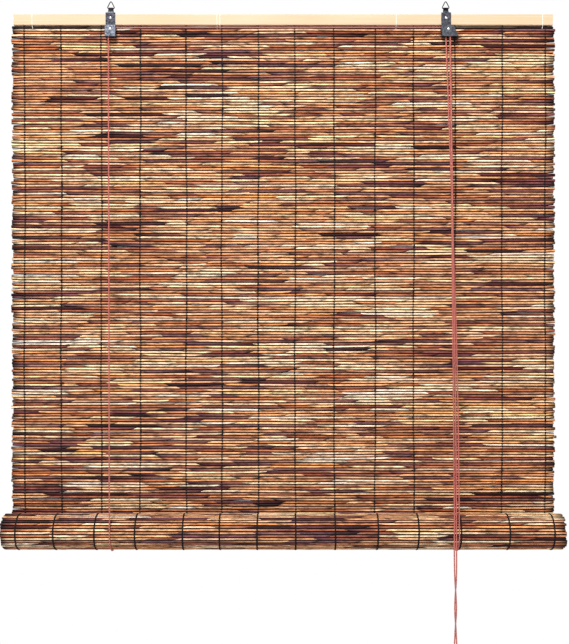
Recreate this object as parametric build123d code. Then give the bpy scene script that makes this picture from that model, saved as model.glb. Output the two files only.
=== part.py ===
from build123d import *
import os
from math import acos, atan2, cos, hypot, pi, radians, sin, sqrt, tan
from random import Random

# Reed roller blind, in millimetres. X runs along the head rail, -Y faces the room, Z is up.
# The origin lies on the line through the two hanging rings' bearing points, above the rail's middle.

os.makedirs("parts", exist_ok=True)

# Head rail
RAIL_END_INSET = 2.0
RAIL_HEIGHT = 20.0
RAIL_DEPTH = 9.0
RAIL_EDGE_CHAMFER = 0.7
RAIL_DROP = 23.5

# Reed mat
MAT_WIDTH = 1004.0
REED_DIAMETER = 4.3
REED_PITCH = 5.07
REED_FLAT = 1.9
WEB_THICKNESS = 1.6
HANGING_REEDS = 183
MAT_TOP_GAP = 1.2
GAP_HEIGHT = 1.5
END_GAP_FIRST = 2
END_GAP_SPACING = 5
END_GAP_SHORTEST = 9.0
THREAD_MARGIN = 2.5
GAPS_FROM_LEFT = (442.0, 130.0, 280.0)
GAPS_FROM_RIGHT = (87.0, 374.0, 297.0)
LEFT_GAP_ROWS = (61, 96, 165)
RIGHT_GAP_ROWS = (148, 27, 117)
MIDDLE_GAP_LENGTH = 34.0
MIDDLE_GAP_HEIGHT = 1.2

# Warp threads, by their distances from the mat's nearer edge
THREADS_FROM_LEFT = (22.0, 90.0, 164.5, 236.5, 322.0, 388.0, 455.5)
THREADS_FROM_RIGHT = (480.0, 407.5, 331.5, 260.0, 183.0, 96.0, 16.0)
THREAD_WIDTH = 1.5
THREAD_DEPTH = 0.5
THREAD_CLEARANCE = 0.05

# Roll
ROLL_OVERHANG = 2.0
ROLL_HALF_TURNS = 9
TURN_GAP = 0.9
BODY_GAP = 0.3
ROD_DIAMETER = 16.0
ROD_CLEARANCE = 0.4
ROD_END_INSET = 2.0
ROLL_THREAD_REEDS = 31
ROLL_THREAD_LIFT = 0.55

# String ties
TIES_FROM_LEFT = (36.5, 382.0)
TIES_FROM_RIGHT = (292.5, 21.0)
TIE_TURNS = (1, 2, 1, 1)
TIE_TURN_SPACING = 5.4
TIE_WIDTH = 1.4
TIE_DEPTH = 0.8
TIE_CLEARANCE = 0.1
TIE_HOLE_MARGIN = 0.5
TIE_KNOT = 3.0

# Fittings
FITTING_FROM_LEFT = 181.7
FITTING_FROM_RIGHT = 200.1
SHEET = 1.0
SHEET_CLEARANCE = 0.2
STRAP_WIDTH = 18.0
TONGUE_WIDTH = 9.0
SHOULDER_RISE = 2.9
SHOULDER_ROUND = 2.0
REAR_TAB_DROP = 3.0
REAR_TAB_LENGTH = 6.0
REAR_LEG_WIDTH = 12.0
REAR_LEG_TAPER = 3.0
STRAP_BEND = 1.6
RING_WIRE = 1.7
RING_APEX_RISE = 2.35
RING_BAR_Z = -12.0
RING_HALF_WIDTH = 7.6
RING_APEX_BEND = 1.9
RING_CORNER_BEND = 2.4
RING_CLEARANCE = 0.3
RING_BEND_CHORDS = 4
STRAP_BEND_CHORDS = 3
RIVET_SHANK = 3.0
RIVET_HEAD = 5.2
RIVET_HEAD_HEIGHT = 1.5
RIVET_CHAMFER = 0.9
RIVET_SIDES = 12
RIVET_FOOT_HEIGHT = 0.9
RIVET_HOLE_CLEARANCE = 0.05
RAIL_RIVET_DROP = 7.5

# Pulleys and covers
CORD_DIAMETER = 2.5
CORD_SPACING = 2.7
PULLEY_CORD_RADIUS = 3.8
PULLEY_WIDTH = 7.0
PULLEY_FLANGE = 0.7
PULLEY_FLANGE_RADIUS = 4.4
PULLEY_SIDES = 20
PULLEY_SIDE_CLEARANCE = 0.4
CORD_CLEARANCE = 0.15
AXLE_Z = -54.0
LEFT_AXLE_OFFSET = 1.0
RIGHT_AXLE_OFFSET = 2.6
COVER_SHEET = 0.9
COVER_CORNER = 0.6
COVER_TOP = 8.0
COVER_BOTTOM = 13.4
LEFT_COVER_WIDTH = 20.0
LOCK_TOP_LEFT = 14.0
LOCK_TOP_RIGHT = 9.6
LOCK_BOTTOM_LEFT = 11.6
LOCK_BOTTOM_RIGHT = 18.8
LOCK_WINDOW_HEIGHT = 5.5
LOCK_LIP = 4.5
ROLLER_DIAMETER = 7.5
ROLLER_TEETH = 14
ROLLER_TOOTH_DEPTH = 0.5
ROLLER_WALL_CLEARANCE = 0.15
ROLLER_CORD_CLEARANCE = 0.25

# Cords
ROLL_CORD_CLEARANCE = 0.3
CORD_SIDES = 6
LEFT_CORD_SHIFT = 10.3
RIGHT_CORD_SHIFT = 12.6
RIGHT_CORD_BEND_Z = -700.0
KNOT_RADIUS = 2.6
KNOT_CHAMFER = 1.4
ANCHOR_Y = 8.8
TAB_HOLE_CLEARANCE = 0.3
FILLET_SPARE = 0.1
ARC_SLACK = 0.015
LOCK_EXIT_RUN = 12.0
COIL_RADIUS = 14.0
COIL_HALF_DEPTH = 5.6
COIL_HALF_HEIGHT = 5.2
COIL_CHAMFER = 3.0
COIL_SIDES = 16
COIL_TIE_LENGTH = 6.0
COIL_TIE_SIDES = 8
COIL_TIE_WALL = 1.2
COIL_TIE_CLEARANCE = 0.7

# Routes of the two tails below the lock's pulley, chosen point by point, X from the pulley's axle
RIGHT_PULL_POINTS = (
    (3.6, -11.2, -105.0),
    (3.1, -27.6, -300.0),
    (2.4, -33.8, -390.0),
    (1.9, -49.6, -660.0),
    (1.2, -66.5, -945.0),
    (0.5, -67.0, -985.0),
    (1.1, -67.0, -1047.0),
    (3.0, -68.9, -1077.0),
    (4.9, -67.0, -1107.0),
    (3.0, -65.1, -1137.0),
    (1.1, -67.0, -1167.0),
    (1.3, -67.0, -1190.0),
)
LEFT_PULL_POINTS = (
    (4.0, -14.2, -110.0),
    (3.5, -32.8, -330.0),
    (3.1, -38.5, -420.0),
    (4.7, -50.6, -640.0),
    (4.9, -59.9, -806.0),
    (4.4, -66.6, -945.0),
    (4.5, -67.0, -985.0),
    (4.9, -67.0, -1047.0),
    (3.0, -65.1, -1077.0),
    (1.1, -67.0, -1107.0),
    (3.0, -68.9, -1137.0),
    (4.9, -67.0, -1167.0),
    (4.7, -67.0, -1190.0),
)
PULL_END = (3.0, -67.0, -1190.0)

# Places that follow from the sizes above
MAT_EDGE = MAT_WIDTH / 2
RAIL_LENGTH = MAT_WIDTH - 2 * RAIL_END_INSET
ROLL_WIDTH = MAT_WIDTH + 2 * ROLL_OVERHANG
ROD_LENGTH = MAT_WIDTH - 2 * ROD_END_INSET
THREAD_PLACES = [x - MAT_EDGE for x in THREADS_FROM_LEFT] + [MAT_EDGE - x for x in THREADS_FROM_RIGHT]
TIE_PLACES = [x - MAT_EDGE for x in TIES_FROM_LEFT] + [MAT_EDGE - x for x in TIES_FROM_RIGHT]
LEFT_GAPS = [(x - MAT_EDGE, row) for x, row in zip(GAPS_FROM_LEFT, LEFT_GAP_ROWS)]
RIGHT_GAPS = [(MAT_EDGE - x, row) for x, row in zip(GAPS_FROM_RIGHT, RIGHT_GAP_ROWS)]
FITTING_LEFT_X = FITTING_FROM_LEFT - MAT_EDGE
FITTING_RIGHT_X = MAT_EDGE - FITTING_FROM_RIGHT
RAIL_TOP_Z = -RAIL_DROP
RAIL_BOTTOM_Z = RAIL_TOP_Z - RAIL_HEIGHT
REED_RADIUS = REED_DIAMETER / 2
FIRST_REED_Z = RAIL_BOTTOM_Z - MAT_TOP_GAP - REED_RADIUS
ROLL_Z = FIRST_REED_Z - HANGING_REEDS * REED_PITCH
TURN_STEP = REED_DIAMETER + TURN_GAP
INNER_TURN_RADIUS = ROD_DIAMETER / 2 + ROD_CLEARANCE + REED_RADIUS
NEUTRAL_RADIUS = INNER_TURN_RADIUS + (ROLL_HALF_TURNS - 1) * TURN_STEP / 2
ROLL_RADIUS = NEUTRAL_RADIUS + REED_RADIUS
ROLL_Y = -NEUTRAL_RADIUS
LEG_FACE = RAIL_DEPTH / 2 + SHEET_CLEARANCE
LEG_MIDDLE = LEG_FACE + SHEET / 2
LEG_FRONT = LEG_FACE + SHEET
PULLEY_Y = -(LEG_FRONT + PULLEY_SIDE_CLEARANCE + PULLEY_WIDTH / 2)
COVER_BACK = PULLEY_Y - PULLEY_WIDTH / 2 - PULLEY_SIDE_CLEARANCE
COVER_FRONT = COVER_BACK - COVER_SHEET
SHOULDER_Z = RAIL_TOP_Z + SHOULDER_RISE
RAIL_RIVET_Z = RAIL_TOP_Z - RAIL_RIVET_DROP
REAR_TAB_Z = RAIL_BOTTOM_Z - REAR_TAB_DROP
COVER_TOP_Z = AXLE_Z + COVER_TOP
COVER_BOTTOM_Z = AXLE_Z - COVER_BOTTOM
LEFT_AXLE_X = FITTING_LEFT_X + LEFT_AXLE_OFFSET
RIGHT_AXLE_X = FITTING_RIGHT_X + RIGHT_AXLE_OFFSET
REAR_CORD_Y = PULLEY_Y + CORD_SPACING / 2
FRONT_CORD_Y = PULLEY_Y - CORD_SPACING / 2
CORD_RADIUS = CORD_DIAMETER / 2
LEFT_CORD_ROLL_X = FITTING_LEFT_X + LEFT_CORD_SHIFT
RIGHT_CORD_ROLL_X = FITTING_RIGHT_X + RIGHT_CORD_SHIFT


def save(name, shape):
    """Write one node's STEP file."""
    shape.label = name
    export_step(shape, f"parts/{name}.step")


def box_between(low, high):
    """A box between two opposite corners."""
    size = [b - a for a, b in zip(low, high)]
    return Pos(*[(a + b) / 2 for a, b in zip(low, high)]) * Box(*size)


def rod_along_y(x, z, radius, y_from, y_to):
    """A round rod with its axis along Y."""
    return Pos(x, (y_from + y_to) / 2, z) * Rot(90, 0, 0) * Cylinder(radius, abs(y_to - y_from))


def plate(outline, y_from, y_to):
    """A flat plate: an outline of (x, z) points, thick along Y."""
    wire = Wire.make_polygon([Vector(x, y_from, z) for x, z in outline], close=True)
    return extrude(Face(wire), amount=abs(y_to - y_from), dir=(0, 1 if y_to > y_from else -1, 0))


def solid_along_x(edges, width):
    """A closed outline of edges in the YZ plane, extruded to the same distance both ways."""
    return extrude(Face(Wire(edges)), amount=width / 2, dir=(1, 0, 0), both=True)


def prism_along_y(x, z, radius, sides, y_from, y_to):
    """A many-sided disc with its axis along Y."""
    disc = extrude(RegularPolygon(radius, sides), amount=abs(y_to - y_from) / 2, both=True)
    return Pos(x, (y_from + y_to) / 2, z) * Rot(90, 0, 0) * disc


def rivet_hole(x, z, y_from, y_to):
    """A hole for a rivet's shank, with as many sides."""
    return prism_along_y(x, z, RIVET_SHANK / 2 + RIVET_HOLE_CLEARANCE, RIVET_SIDES, y_from, y_to)


def bent_line(points, radii, shift, chords, closed=False):
    """A line of (u, v) points, its corners rounded by chords, and the whole moved to its left by shift."""
    count = len(points)
    line = []
    for index, (here_u, here_v) in enumerate(points):
        before_u, before_v = points[index - 1]
        after_u, after_v = points[(index + 1) % count]
        arriving = atan2(here_v - before_v, here_u - before_u)
        leaving = atan2(after_v - here_v, after_u - here_u)
        if not closed and index in (0, count - 1):
            heading = arriving if index else leaving
            line.append((here_u - shift * sin(heading), here_v + shift * cos(heading)))
            continue
        turn = (leaving - arriving + pi) % (2 * pi) - pi
        reach = radii[index] if turn > 0 else -radii[index]
        tangent = radii[index] * tan(abs(turn) / 2)
        centre_u = here_u - tangent * cos(arriving) - reach * sin(arriving)
        centre_v = here_v - tangent * sin(arriving) + reach * cos(arriving)
        for step in range(chords + 1):
            angle = arriving + turn * step / chords
            u = centre_u + (reach - shift) * sin(angle)
            v = centre_v - (reach - shift) * cos(angle)
            line.append((u, v))
    return line


def head_rail():
    """The batten, with the two holes that the fittings' rivets pass through."""
    middle_z = (RAIL_TOP_Z + RAIL_BOTTOM_Z) / 2
    rail = Pos(0, 0, middle_z) * Box(RAIL_LENGTH, RAIL_DEPTH, RAIL_HEIGHT)
    rail = chamfer(rail.edges().filter_by(Axis.X), RAIL_EDGE_CHAMFER)
    for x in (FITTING_LEFT_X, FITTING_RIGHT_X):
        rail -= rivet_hole(x, RAIL_RIVET_Z, -RAIL_DEPTH, RAIL_DEPTH)
    return rail


def valley_z(reed):
    """Height of the valley under a reed of the hanging mat, counted from 0 at the top."""
    return FIRST_REED_Z - (reed + 0.5) * REED_PITCH


def mat_gaps():
    """The see-through gaps: between free reed ends at both edges, a few between threads, one for each tie."""
    draw = Random(5)
    gaps = []
    ends = ((-MAT_EDGE, THREAD_PLACES[0], 1), (MAT_EDGE, THREAD_PLACES[-1], -1))
    for start, thread, way in ends:
        longest = abs(start - thread) - THREAD_MARGIN
        for reed in range(END_GAP_FIRST, HANGING_REEDS - END_GAP_FIRST, END_GAP_SPACING):
            row = reed + draw.randint(0, END_GAP_SPACING - 2)
            depth = draw.uniform(END_GAP_SHORTEST, longest)
            inner = start + way * depth
            low = (min(start - way, inner), -REED_DIAMETER, valley_z(row) - GAP_HEIGHT / 2)
            high = (max(start - way, inner), REED_DIAMETER, valley_z(row) + GAP_HEIGHT / 2)
            gaps.append(box_between(low, high))
    for x, row in LEFT_GAPS + RIGHT_GAPS:
        low = (x - MIDDLE_GAP_LENGTH / 2, -REED_DIAMETER, valley_z(row) - MIDDLE_GAP_HEIGHT / 2)
        high = (x + MIDDLE_GAP_LENGTH / 2, REED_DIAMETER, valley_z(row) + MIDDLE_GAP_HEIGHT / 2)
        gaps.append(box_between(low, high))
    half_height = TIE_DEPTH / 2 + TIE_HOLE_MARGIN
    for place, turns in zip(TIE_PLACES, TIE_TURNS):
        for x in tie_turn_places(place, turns):
            half_width = TIE_WIDTH / 2 + TIE_HOLE_MARGIN
            low = (x - half_width, -REED_DIAMETER, valley_z(0) - half_height)
            high = (x + half_width, REED_DIAMETER, valley_z(0) + half_height)
            gaps.append(box_between(low, high))
    return gaps


def reed_mat():
    """The hanging mat: one ridged wall, a ridge for each reed, flattened in front, its gaps cut through."""
    crest = REED_RADIUS
    valley = WEB_THICKNESS / 2
    front = [(-valley, FIRST_REED_Z + REED_RADIUS)]
    back = [(valley, FIRST_REED_Z + REED_RADIUS)]
    for reed in range(HANGING_REEDS):
        z = FIRST_REED_Z - reed * REED_PITCH
        front += [(-crest, z + REED_FLAT / 2), (-crest, z - REED_FLAT / 2)]
        back.append((crest, z))
        if reed < HANGING_REEDS - 1:
            front.append((-valley, z - REED_PITCH / 2))
            back.append((valley, z - REED_PITCH / 2))
    front.append((-valley, mat_bottom_z()))
    back.append((valley, mat_bottom_z()))
    points = [Vector(0, y, z) for y, z in front + back[::-1]]
    outline = Face(Wire.make_polygon(points, close=True))
    wall = extrude(outline, amount=MAT_WIDTH / 2, dir=(1, 0, 0), both=True)
    return wall - mat_gaps()


def mat_bottom_z():
    """Lower edge of the hanging mat."""
    return FIRST_REED_Z - (HANGING_REEDS - 1) * REED_PITCH - REED_RADIUS


def warp_thread(x):
    """One warp thread of the hanging mat: a strand in front, one behind, closed over the end reeds."""
    inner_y = REED_RADIUS + THREAD_CLEARANCE
    outer_y = inner_y + THREAD_DEPTH
    top = FIRST_REED_Z + REED_RADIUS + THREAD_CLEARANCE
    bottom = mat_bottom_z() - THREAD_CLEARANCE
    outer = box_between(
        (x - THREAD_WIDTH / 2, -outer_y, bottom - THREAD_DEPTH),
        (x + THREAD_WIDTH / 2, outer_y, top + THREAD_DEPTH),
    )
    inner = box_between((x - THREAD_WIDTH, -inner_y, bottom), (x + THREAD_WIDTH, inner_y, top))
    return outer - inner


def half_turn_radius(index):
    """Radius of the wound mat's middle line in one half turn, counted inwards from 0."""
    return NEUTRAL_RADIUS - index * TURN_STEP / 2


def half_turn_centre(index):
    """Y of a half turn's centre: even ones run under the roll, odd ones over it, half a step in front."""
    return ROLL_Y - (index % 2) * TURN_STEP / 2


def roll_point(index, angle, offset):
    """A point of the roll: half turn, angle through it in radians, distance outside its middle line."""
    radius = half_turn_radius(index) + offset
    way = -1 if index % 2 else 1
    y = half_turn_centre(index) + way * radius * cos(angle)
    z = ROLL_Z - way * radius * sin(angle)
    return Vector(0, y, z)


def roll_arc(index, offset, start=0.0, end=pi):
    """An arc of one half turn, at a distance outside its middle line."""
    middle = (start + end) / 2
    return ThreePointArc(
        roll_point(index, start, offset), roll_point(index, middle, offset), roll_point(index, end, offset)
    )


def outer_turn_point(length, offset):
    """A point of the outer turn by the length of mat wound on since the roll's rear."""
    if length < 0:
        return Vector(0, offset, ROLL_Z - length)
    first = pi * half_turn_radius(0)
    if length <= first:
        return roll_point(0, length / half_turn_radius(0), offset)
    return roll_point(1, (length - first) / half_turn_radius(1), offset)


def mat_roll():
    """The wound mat: one spiral wall of half turns, with a ridge for each reed of its outer turn."""
    valley = WEB_THICKNESS / 2
    around = pi * (half_turn_radius(0) + half_turn_radius(1))
    reeds = int(around / REED_PITCH)
    start = -REED_PITCH / 2 + (REED_PITCH - REED_DIAMETER) / 2 + BODY_GAP
    places = [start] + [(reed + 0.5) * REED_PITCH for reed in range(reeds)]
    outline = [outer_turn_point(start, valley)]
    for before, after in zip(places, places[1:]):
        middle = (before + after) / 2
        outline.append(outer_turn_point(middle - REED_FLAT / 2, REED_RADIUS))
        outline.append(outer_turn_point(middle + REED_FLAT / 2, REED_RADIUS))
        outline.append(outer_turn_point(after, valley))
    edges = [Line(before, after) for before, after in zip(outline, outline[1:])]
    last = places[-1]
    last_angle = (last - pi * half_turn_radius(0)) / half_turn_radius(1)
    edges.append(Line(outer_turn_point(last, valley), outer_turn_point(last, REED_RADIUS)))
    edges.append(roll_arc(1, REED_RADIUS, start=last_angle))
    for index in range(2, ROLL_HALF_TURNS):
        edges.append(roll_arc(index, REED_RADIUS))
    end = ROLL_HALF_TURNS - 1
    edges.append(Line(roll_point(end, pi, REED_RADIUS), roll_point(end, pi, -REED_RADIUS)))
    for index in reversed(range(ROLL_HALF_TURNS)):
        edges.append(roll_arc(index, -REED_RADIUS, start=pi, end=0.0))
    rear_inner = outer_turn_point(0, -REED_RADIUS)
    tip_inner = outer_turn_point(start, -REED_RADIUS)
    edges.append(Line(rear_inner, tip_inner))
    edges.append(Line(tip_inner, outer_turn_point(start, valley)))
    return solid_along_x(edges, ROLL_WIDTH)


def roll_thread(x):
    """One warp thread on the outer turn, straight over two reeds at a time, from the rear under the roll."""
    inner = REED_RADIUS + ROLL_THREAD_LIFT
    lengths = [reed * REED_PITCH for reed in range(0, ROLL_THREAD_REEDS, 2)]
    outline = [outer_turn_point(length, inner + THREAD_DEPTH) for length in lengths]
    outline += [outer_turn_point(length, inner) for length in reversed(lengths)]
    band = Face(Wire.make_polygon(outline, close=True))
    return Pos(x, 0, 0) * extrude(band, amount=THREAD_WIDTH / 2, dir=(1, 0, 0), both=True)


def bottom_rod():
    """The round rod in the middle of the roll."""
    return Pos(0, ROLL_Y, ROLL_Z) * Rot(0, 90, 0) * Cylinder(ROD_DIAMETER / 2, ROD_LENGTH)


def tie_turn_places(place, turns):
    """X of each turn of a tie."""
    return [place + (turn - (turns - 1) / 2) * TIE_TURN_SPACING for turn in range(turns)]


def rail_tie(place, turns):
    """A string tie: one or two loops round the batten and under the top reed, with its knot behind."""
    side = RAIL_DEPTH / 2 + TIE_CLEARANCE
    top = RAIL_TOP_Z + TIE_CLEARANCE
    under = valley_z(0) + TIE_DEPTH / 2
    corner = REED_RADIUS
    inner = [
        (-side, top),
        (side, top),
        (side, RAIL_BOTTOM_Z),
        (corner, under),
        (-corner, under),
        (-side, RAIL_BOTTOM_Z),
    ]
    inner_face = Face(Wire.make_polygon([Vector(0, y, z) for y, z in inner], close=True))
    band = offset(inner_face, amount=TIE_DEPTH, kind=Kind.INTERSECTION) - inner_face
    loop = extrude(band, amount=TIE_WIDTH / 2, dir=(1, 0, 0), both=True)
    places = tie_turn_places(place, turns)
    knot = box_between(
        (min(places) - TIE_KNOT / 2, side, RAIL_RIVET_Z - TIE_KNOT / 2),
        (max(places) + TIE_KNOT / 2, side + TIE_KNOT, RAIL_RIVET_Z + TIE_KNOT / 2),
    )
    knot = chamfer(knot.edges(), TIE_KNOT / 4)
    return knot + [Pos(x, 0, 0) * loop for x in places]


def cover_corners(axle_x, top_left, top_right, bottom_left, bottom_right):
    """The four corners of a cover's front, as distances from the axle."""
    return [
        (axle_x - top_left, COVER_TOP_Z),
        (axle_x + top_right, COVER_TOP_Z),
        (axle_x + bottom_right, COVER_BOTTOM_Z),
        (axle_x - bottom_left, COVER_BOTTOM_Z),
    ]


def left_cover_corners():
    """The left cover is a plain rectangle."""
    half = LEFT_COVER_WIDTH / 2
    return cover_corners(LEFT_AXLE_X, half, half, half, half)


def lock_corners():
    """The lock's cover widens downwards to the right."""
    return cover_corners(RIGHT_AXLE_X, LOCK_TOP_LEFT, LOCK_TOP_RIGHT, LOCK_BOTTOM_LEFT, LOCK_BOTTOM_RIGHT)


def strap(x, axle_x, cheek):
    """A strap folded over the batten: rear leg and tab, tongue round the ring's bar, front leg and cheek."""
    loop = RING_WIRE / 2 + RING_CLEARANCE + SHEET / 2
    neck_z = RING_BAR_Z - loop
    rear = [
        (LEG_MIDDLE + REAR_TAB_LENGTH, REAR_TAB_Z),
        (LEG_MIDDLE, REAR_TAB_Z),
        (LEG_MIDDLE, SHOULDER_Z),
        (loop, neck_z),
        (loop, RING_BAR_Z),
    ]
    front = [(-loop, RING_BAR_Z), (-loop, neck_z), (-LEG_MIDDLE, SHOULDER_Z), (-LEG_MIDDLE, COVER_BOTTOM_Z)]
    sides = []
    for shift in (SHEET / 2, -SHEET / 2):
        points = []
        for part in (rear, front):
            radii = [STRAP_BEND] * len(part)
            points.append([Vector(0, y, z) for y, z in bent_line(part, radii, shift, STRAP_BEND_CHORDS)])
        crown = Vector(0, 0, RING_BAR_Z + loop - shift)
        sides.append((points[0], ThreePointArc(points[0][-1], crown, points[1][0]), points[1]))
    edges = []
    for rear_points, curl, front_points in sides:
        edges += [Line(before, after) for before, after in zip(rear_points, rear_points[1:])]
        edges.append(curl)
        edges += [Line(before, after) for before, after in zip(front_points, front_points[1:])]
    (first_rear, _, first_front), (second_rear, _, second_front) = sides
    edges.append(Line(first_rear[0], second_rear[0]))
    edges.append(Line(first_front[-1], second_front[-1]))
    width = 2 * max(abs(corner_x) for corner_x, corner_z in cheek)
    sheet = Pos(x, 0, 0) * solid_along_x(edges, width)
    half = STRAP_WIDTH / 2
    tongue = TONGUE_WIDTH / 2
    top = RING_BAR_Z + loop + SHEET
    neck = [
        (x - half, SHOULDER_Z),
        (x - tongue - SHOULDER_ROUND, SHOULDER_Z),
        (x - tongue, SHOULDER_Z + SHOULDER_ROUND),
        (x - tongue, top),
        (x + tongue, top),
        (x + tongue, SHOULDER_Z + SHOULDER_ROUND),
        (x + tongue + SHOULDER_ROUND, SHOULDER_Z),
        (x + half, SHOULDER_Z),
    ]
    leg_end_z = RAIL_BOTTOM_Z + REAR_LEG_TAPER
    front_outline = neck + [(x + half, COVER_TOP_Z - SHEET), (x - half, COVER_TOP_Z - SHEET)]
    rear_half = REAR_LEG_WIDTH / 2
    rear_outline = neck + [
        (x + half, leg_end_z),
        (x + rear_half, leg_end_z - REAR_LEG_TAPER),
        (x + rear_half, REAR_TAB_Z - SHEET),
        (x - rear_half, REAR_TAB_Z - SHEET),
        (x - rear_half, leg_end_z - REAR_LEG_TAPER),
        (x - half, leg_end_z),
    ]
    reach = LEG_FRONT + REAR_TAB_LENGTH
    blank = plate(front_outline, -reach, 0) + plate(cheek, -reach, 0) + plate(rear_outline, 0, reach)
    body = sheet & blank
    body -= rivet_hole(x, RAIL_RIVET_Z, -reach, reach)
    body -= rivet_hole(axle_x, AXLE_Z, -reach, 0)
    tab_hole = RegularPolygon(CORD_RADIUS + TAB_HOLE_CLEARANCE, RIVET_SIDES)
    return body - Pos(x, ANCHOR_Y, REAR_TAB_Z) * extrude(tab_hole, amount=SHEET, both=True)


def inset(corners, left, right):
    """The hollow's outline inside a cover: its walls taken off, and open past the lower edge."""
    (left_top, top), (right_top, _), (right_bottom, bottom), (left_bottom, _) = corners
    height = top - bottom
    below = bottom - COVER_SHEET
    left_below = left_bottom + (left_bottom - left_top) * COVER_SHEET / height
    right_below = right_bottom + (right_bottom - right_top) * COVER_SHEET / height
    return [
        (left_top + left, top - COVER_SHEET),
        (right_top - right, top - COVER_SHEET),
        (right_below - right, below),
        (left_below + left, below),
    ]


def cover_shell(corners, left, right):
    """A pressed cover: a front sheet with walls back to the strap, and no wall below."""
    block = plate(corners, COVER_FRONT, -LEG_FRONT)
    front_edges = block.faces().sort_by(Axis.Y)[0].edges()
    block = chamfer(front_edges, COVER_CORNER)
    hollow = plate(inset(corners, left, right), COVER_BACK, -LEG_FRONT + SHEET)
    return block - hollow


def axle_hole(axle_x):
    """The hole through a cover for its axle rivet."""
    return rivet_hole(axle_x, AXLE_Z, COVER_FRONT - SHEET, COVER_BACK + SHEET)


def left_cover():
    """The zinc cover: walls above and on its left, open to the right where the cord leaves level."""
    return cover_shell(left_cover_corners(), COVER_SHEET, -COVER_SHEET) - axle_hole(LEFT_AXLE_X)


def lock_cover():
    """The lock's cover: a window for the level cord, a slanted wall for the roller, and a lip under it."""
    corners = lock_corners()
    shell = cover_shell(corners, COVER_SHEET, COVER_SHEET) - axle_hole(RIGHT_AXLE_X)
    cord_z = AXLE_Z + PULLEY_CORD_RADIUS
    left = corners[0][0]
    window = box_between(
        (left - COVER_SHEET, COVER_BACK, cord_z - LOCK_WINDOW_HEIGHT / 2),
        (RIGHT_AXLE_X - PULLEY_FLANGE_RADIUS, 0, cord_z + LOCK_WINDOW_HEIGHT / 2),
    )
    inner = inset(corners, COVER_SHEET, COVER_SHEET)
    wall_x = inner[2][0]
    lip = plate(
        [
            (wall_x - LOCK_LIP, COVER_BOTTOM_Z + COVER_SHEET),
            (wall_x, COVER_BOTTOM_Z + COVER_SHEET),
            (wall_x, COVER_BOTTOM_Z),
            (wall_x - LOCK_LIP, COVER_BOTTOM_Z),
        ],
        COVER_FRONT + COVER_CORNER,
        -LEG_FRONT,
    )
    return shell - window + lip


def rivet(x, z, back_y, front_y):
    """A domed rivet with its flattened foot behind back_y and its head in front of front_y."""
    length = abs(front_y - back_y)
    head = extrude(RegularPolygon(RIVET_HEAD / 2, RIVET_SIDES), amount=RIVET_HEAD_HEIGHT)
    head = Pos(0, 0, length) * chamfer(head.faces().sort_by(Axis.Z)[-1].edges(), RIVET_CHAMFER)
    foot = extrude(RegularPolygon(RIVET_HEAD / 2, RIVET_SIDES), amount=-RIVET_FOOT_HEIGHT)
    blank = extrude(RegularPolygon(RIVET_SHANK / 2, RIVET_SIDES), amount=length) + foot + head
    return Pos(x, back_y, z) * Rot(90, 0, 0) * blank


def pulley(axle_x):
    """A grooved pulley, wide enough for two cords side by side."""
    half = PULLEY_WIDTH / 2
    bore = RIVET_SHANK / 2 + RIVET_HOLE_CLEARANCE
    groove = PULLEY_CORD_RADIUS - CORD_RADIUS - CORD_CLEARANCE
    rear_y, front_y = PULLEY_Y + half, PULLEY_Y - half
    blank = rod_along_y(axle_x, AXLE_Z, groove, rear_y, front_y)
    for outer_y, inner_y in ((rear_y, rear_y - PULLEY_FLANGE), (front_y, front_y + PULLEY_FLANGE)):
        blank += prism_along_y(axle_x, AXLE_Z, PULLEY_FLANGE_RADIUS, PULLEY_SIDES, outer_y, inner_y)
    return blank - rod_along_y(axle_x, AXLE_Z, bore, rear_y + SHEET, front_y - SHEET)


def lock_wall():
    """The slanted wall's inner face: its top point and its unit direction downwards."""
    inner = inset(lock_corners(), COVER_SHEET, COVER_SHEET)
    (top_x, top_z), (bottom_x, bottom_z) = inner[1], inner[2]
    length = hypot(bottom_x - top_x, bottom_z - top_z)
    return (top_x, top_z), ((bottom_x - top_x) / length, (bottom_z - top_z) / length)


def roller_place():
    """The roller's centre where it jams: against the slanted wall and the cords on the pulley's right."""
    (top_x, top_z), (way_x, way_z) = lock_wall()
    radius = ROLLER_DIAMETER / 2
    x = RIGHT_AXLE_X + PULLEY_CORD_RADIUS + CORD_RADIUS + ROLLER_CORD_CLEARANCE + radius
    from_wall = radius + ROLLER_WALL_CLEARANCE
    z = top_z - (from_wall - (x - top_x) * way_z) / way_x
    return x, z


def lock_roller():
    """The lock's loose roller, fluted so that it bites the cords."""
    x, z = roller_place()
    outer = ROLLER_DIAMETER / 2
    root = outer - ROLLER_TOOTH_DEPTH
    count = 2 * ROLLER_TEETH
    points = []
    for index in range(count):
        radius = root if index % 2 else outer
        angle = 2 * pi * index / count
        points.append((x + radius * cos(angle), z + radius * sin(angle)))
    half = PULLEY_WIDTH / 2
    return plate(points, PULLEY_Y - half, PULLEY_Y + half)


def hanging_ring(x):
    """A hanging ring: wire bent to a triangle, its apex on the origin's line and its bar in the tongue."""
    apex_z = RING_WIRE / 2 + RING_APEX_RISE
    corners = [(x, apex_z), (x + RING_HALF_WIDTH, RING_BAR_Z), (x - RING_HALF_WIDTH, RING_BAR_Z)]
    bends = [RING_APEX_BEND, RING_CORNER_BEND, RING_CORNER_BEND]
    half = RING_WIRE / 2
    outer = bent_line(corners, bends, half, RING_BEND_CHORDS, closed=True)
    inner = bent_line(corners, bends, -half, RING_BEND_CHORDS, closed=True)
    ring = plate(outer, -half, half) - plate(inner, -RING_WIRE, RING_WIRE)
    sides = ring.faces().sort_by(Axis.Y)
    return chamfer(sides[0].edges() + sides[-1].edges(), RING_WIRE / (2 + sqrt(2)))


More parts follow.
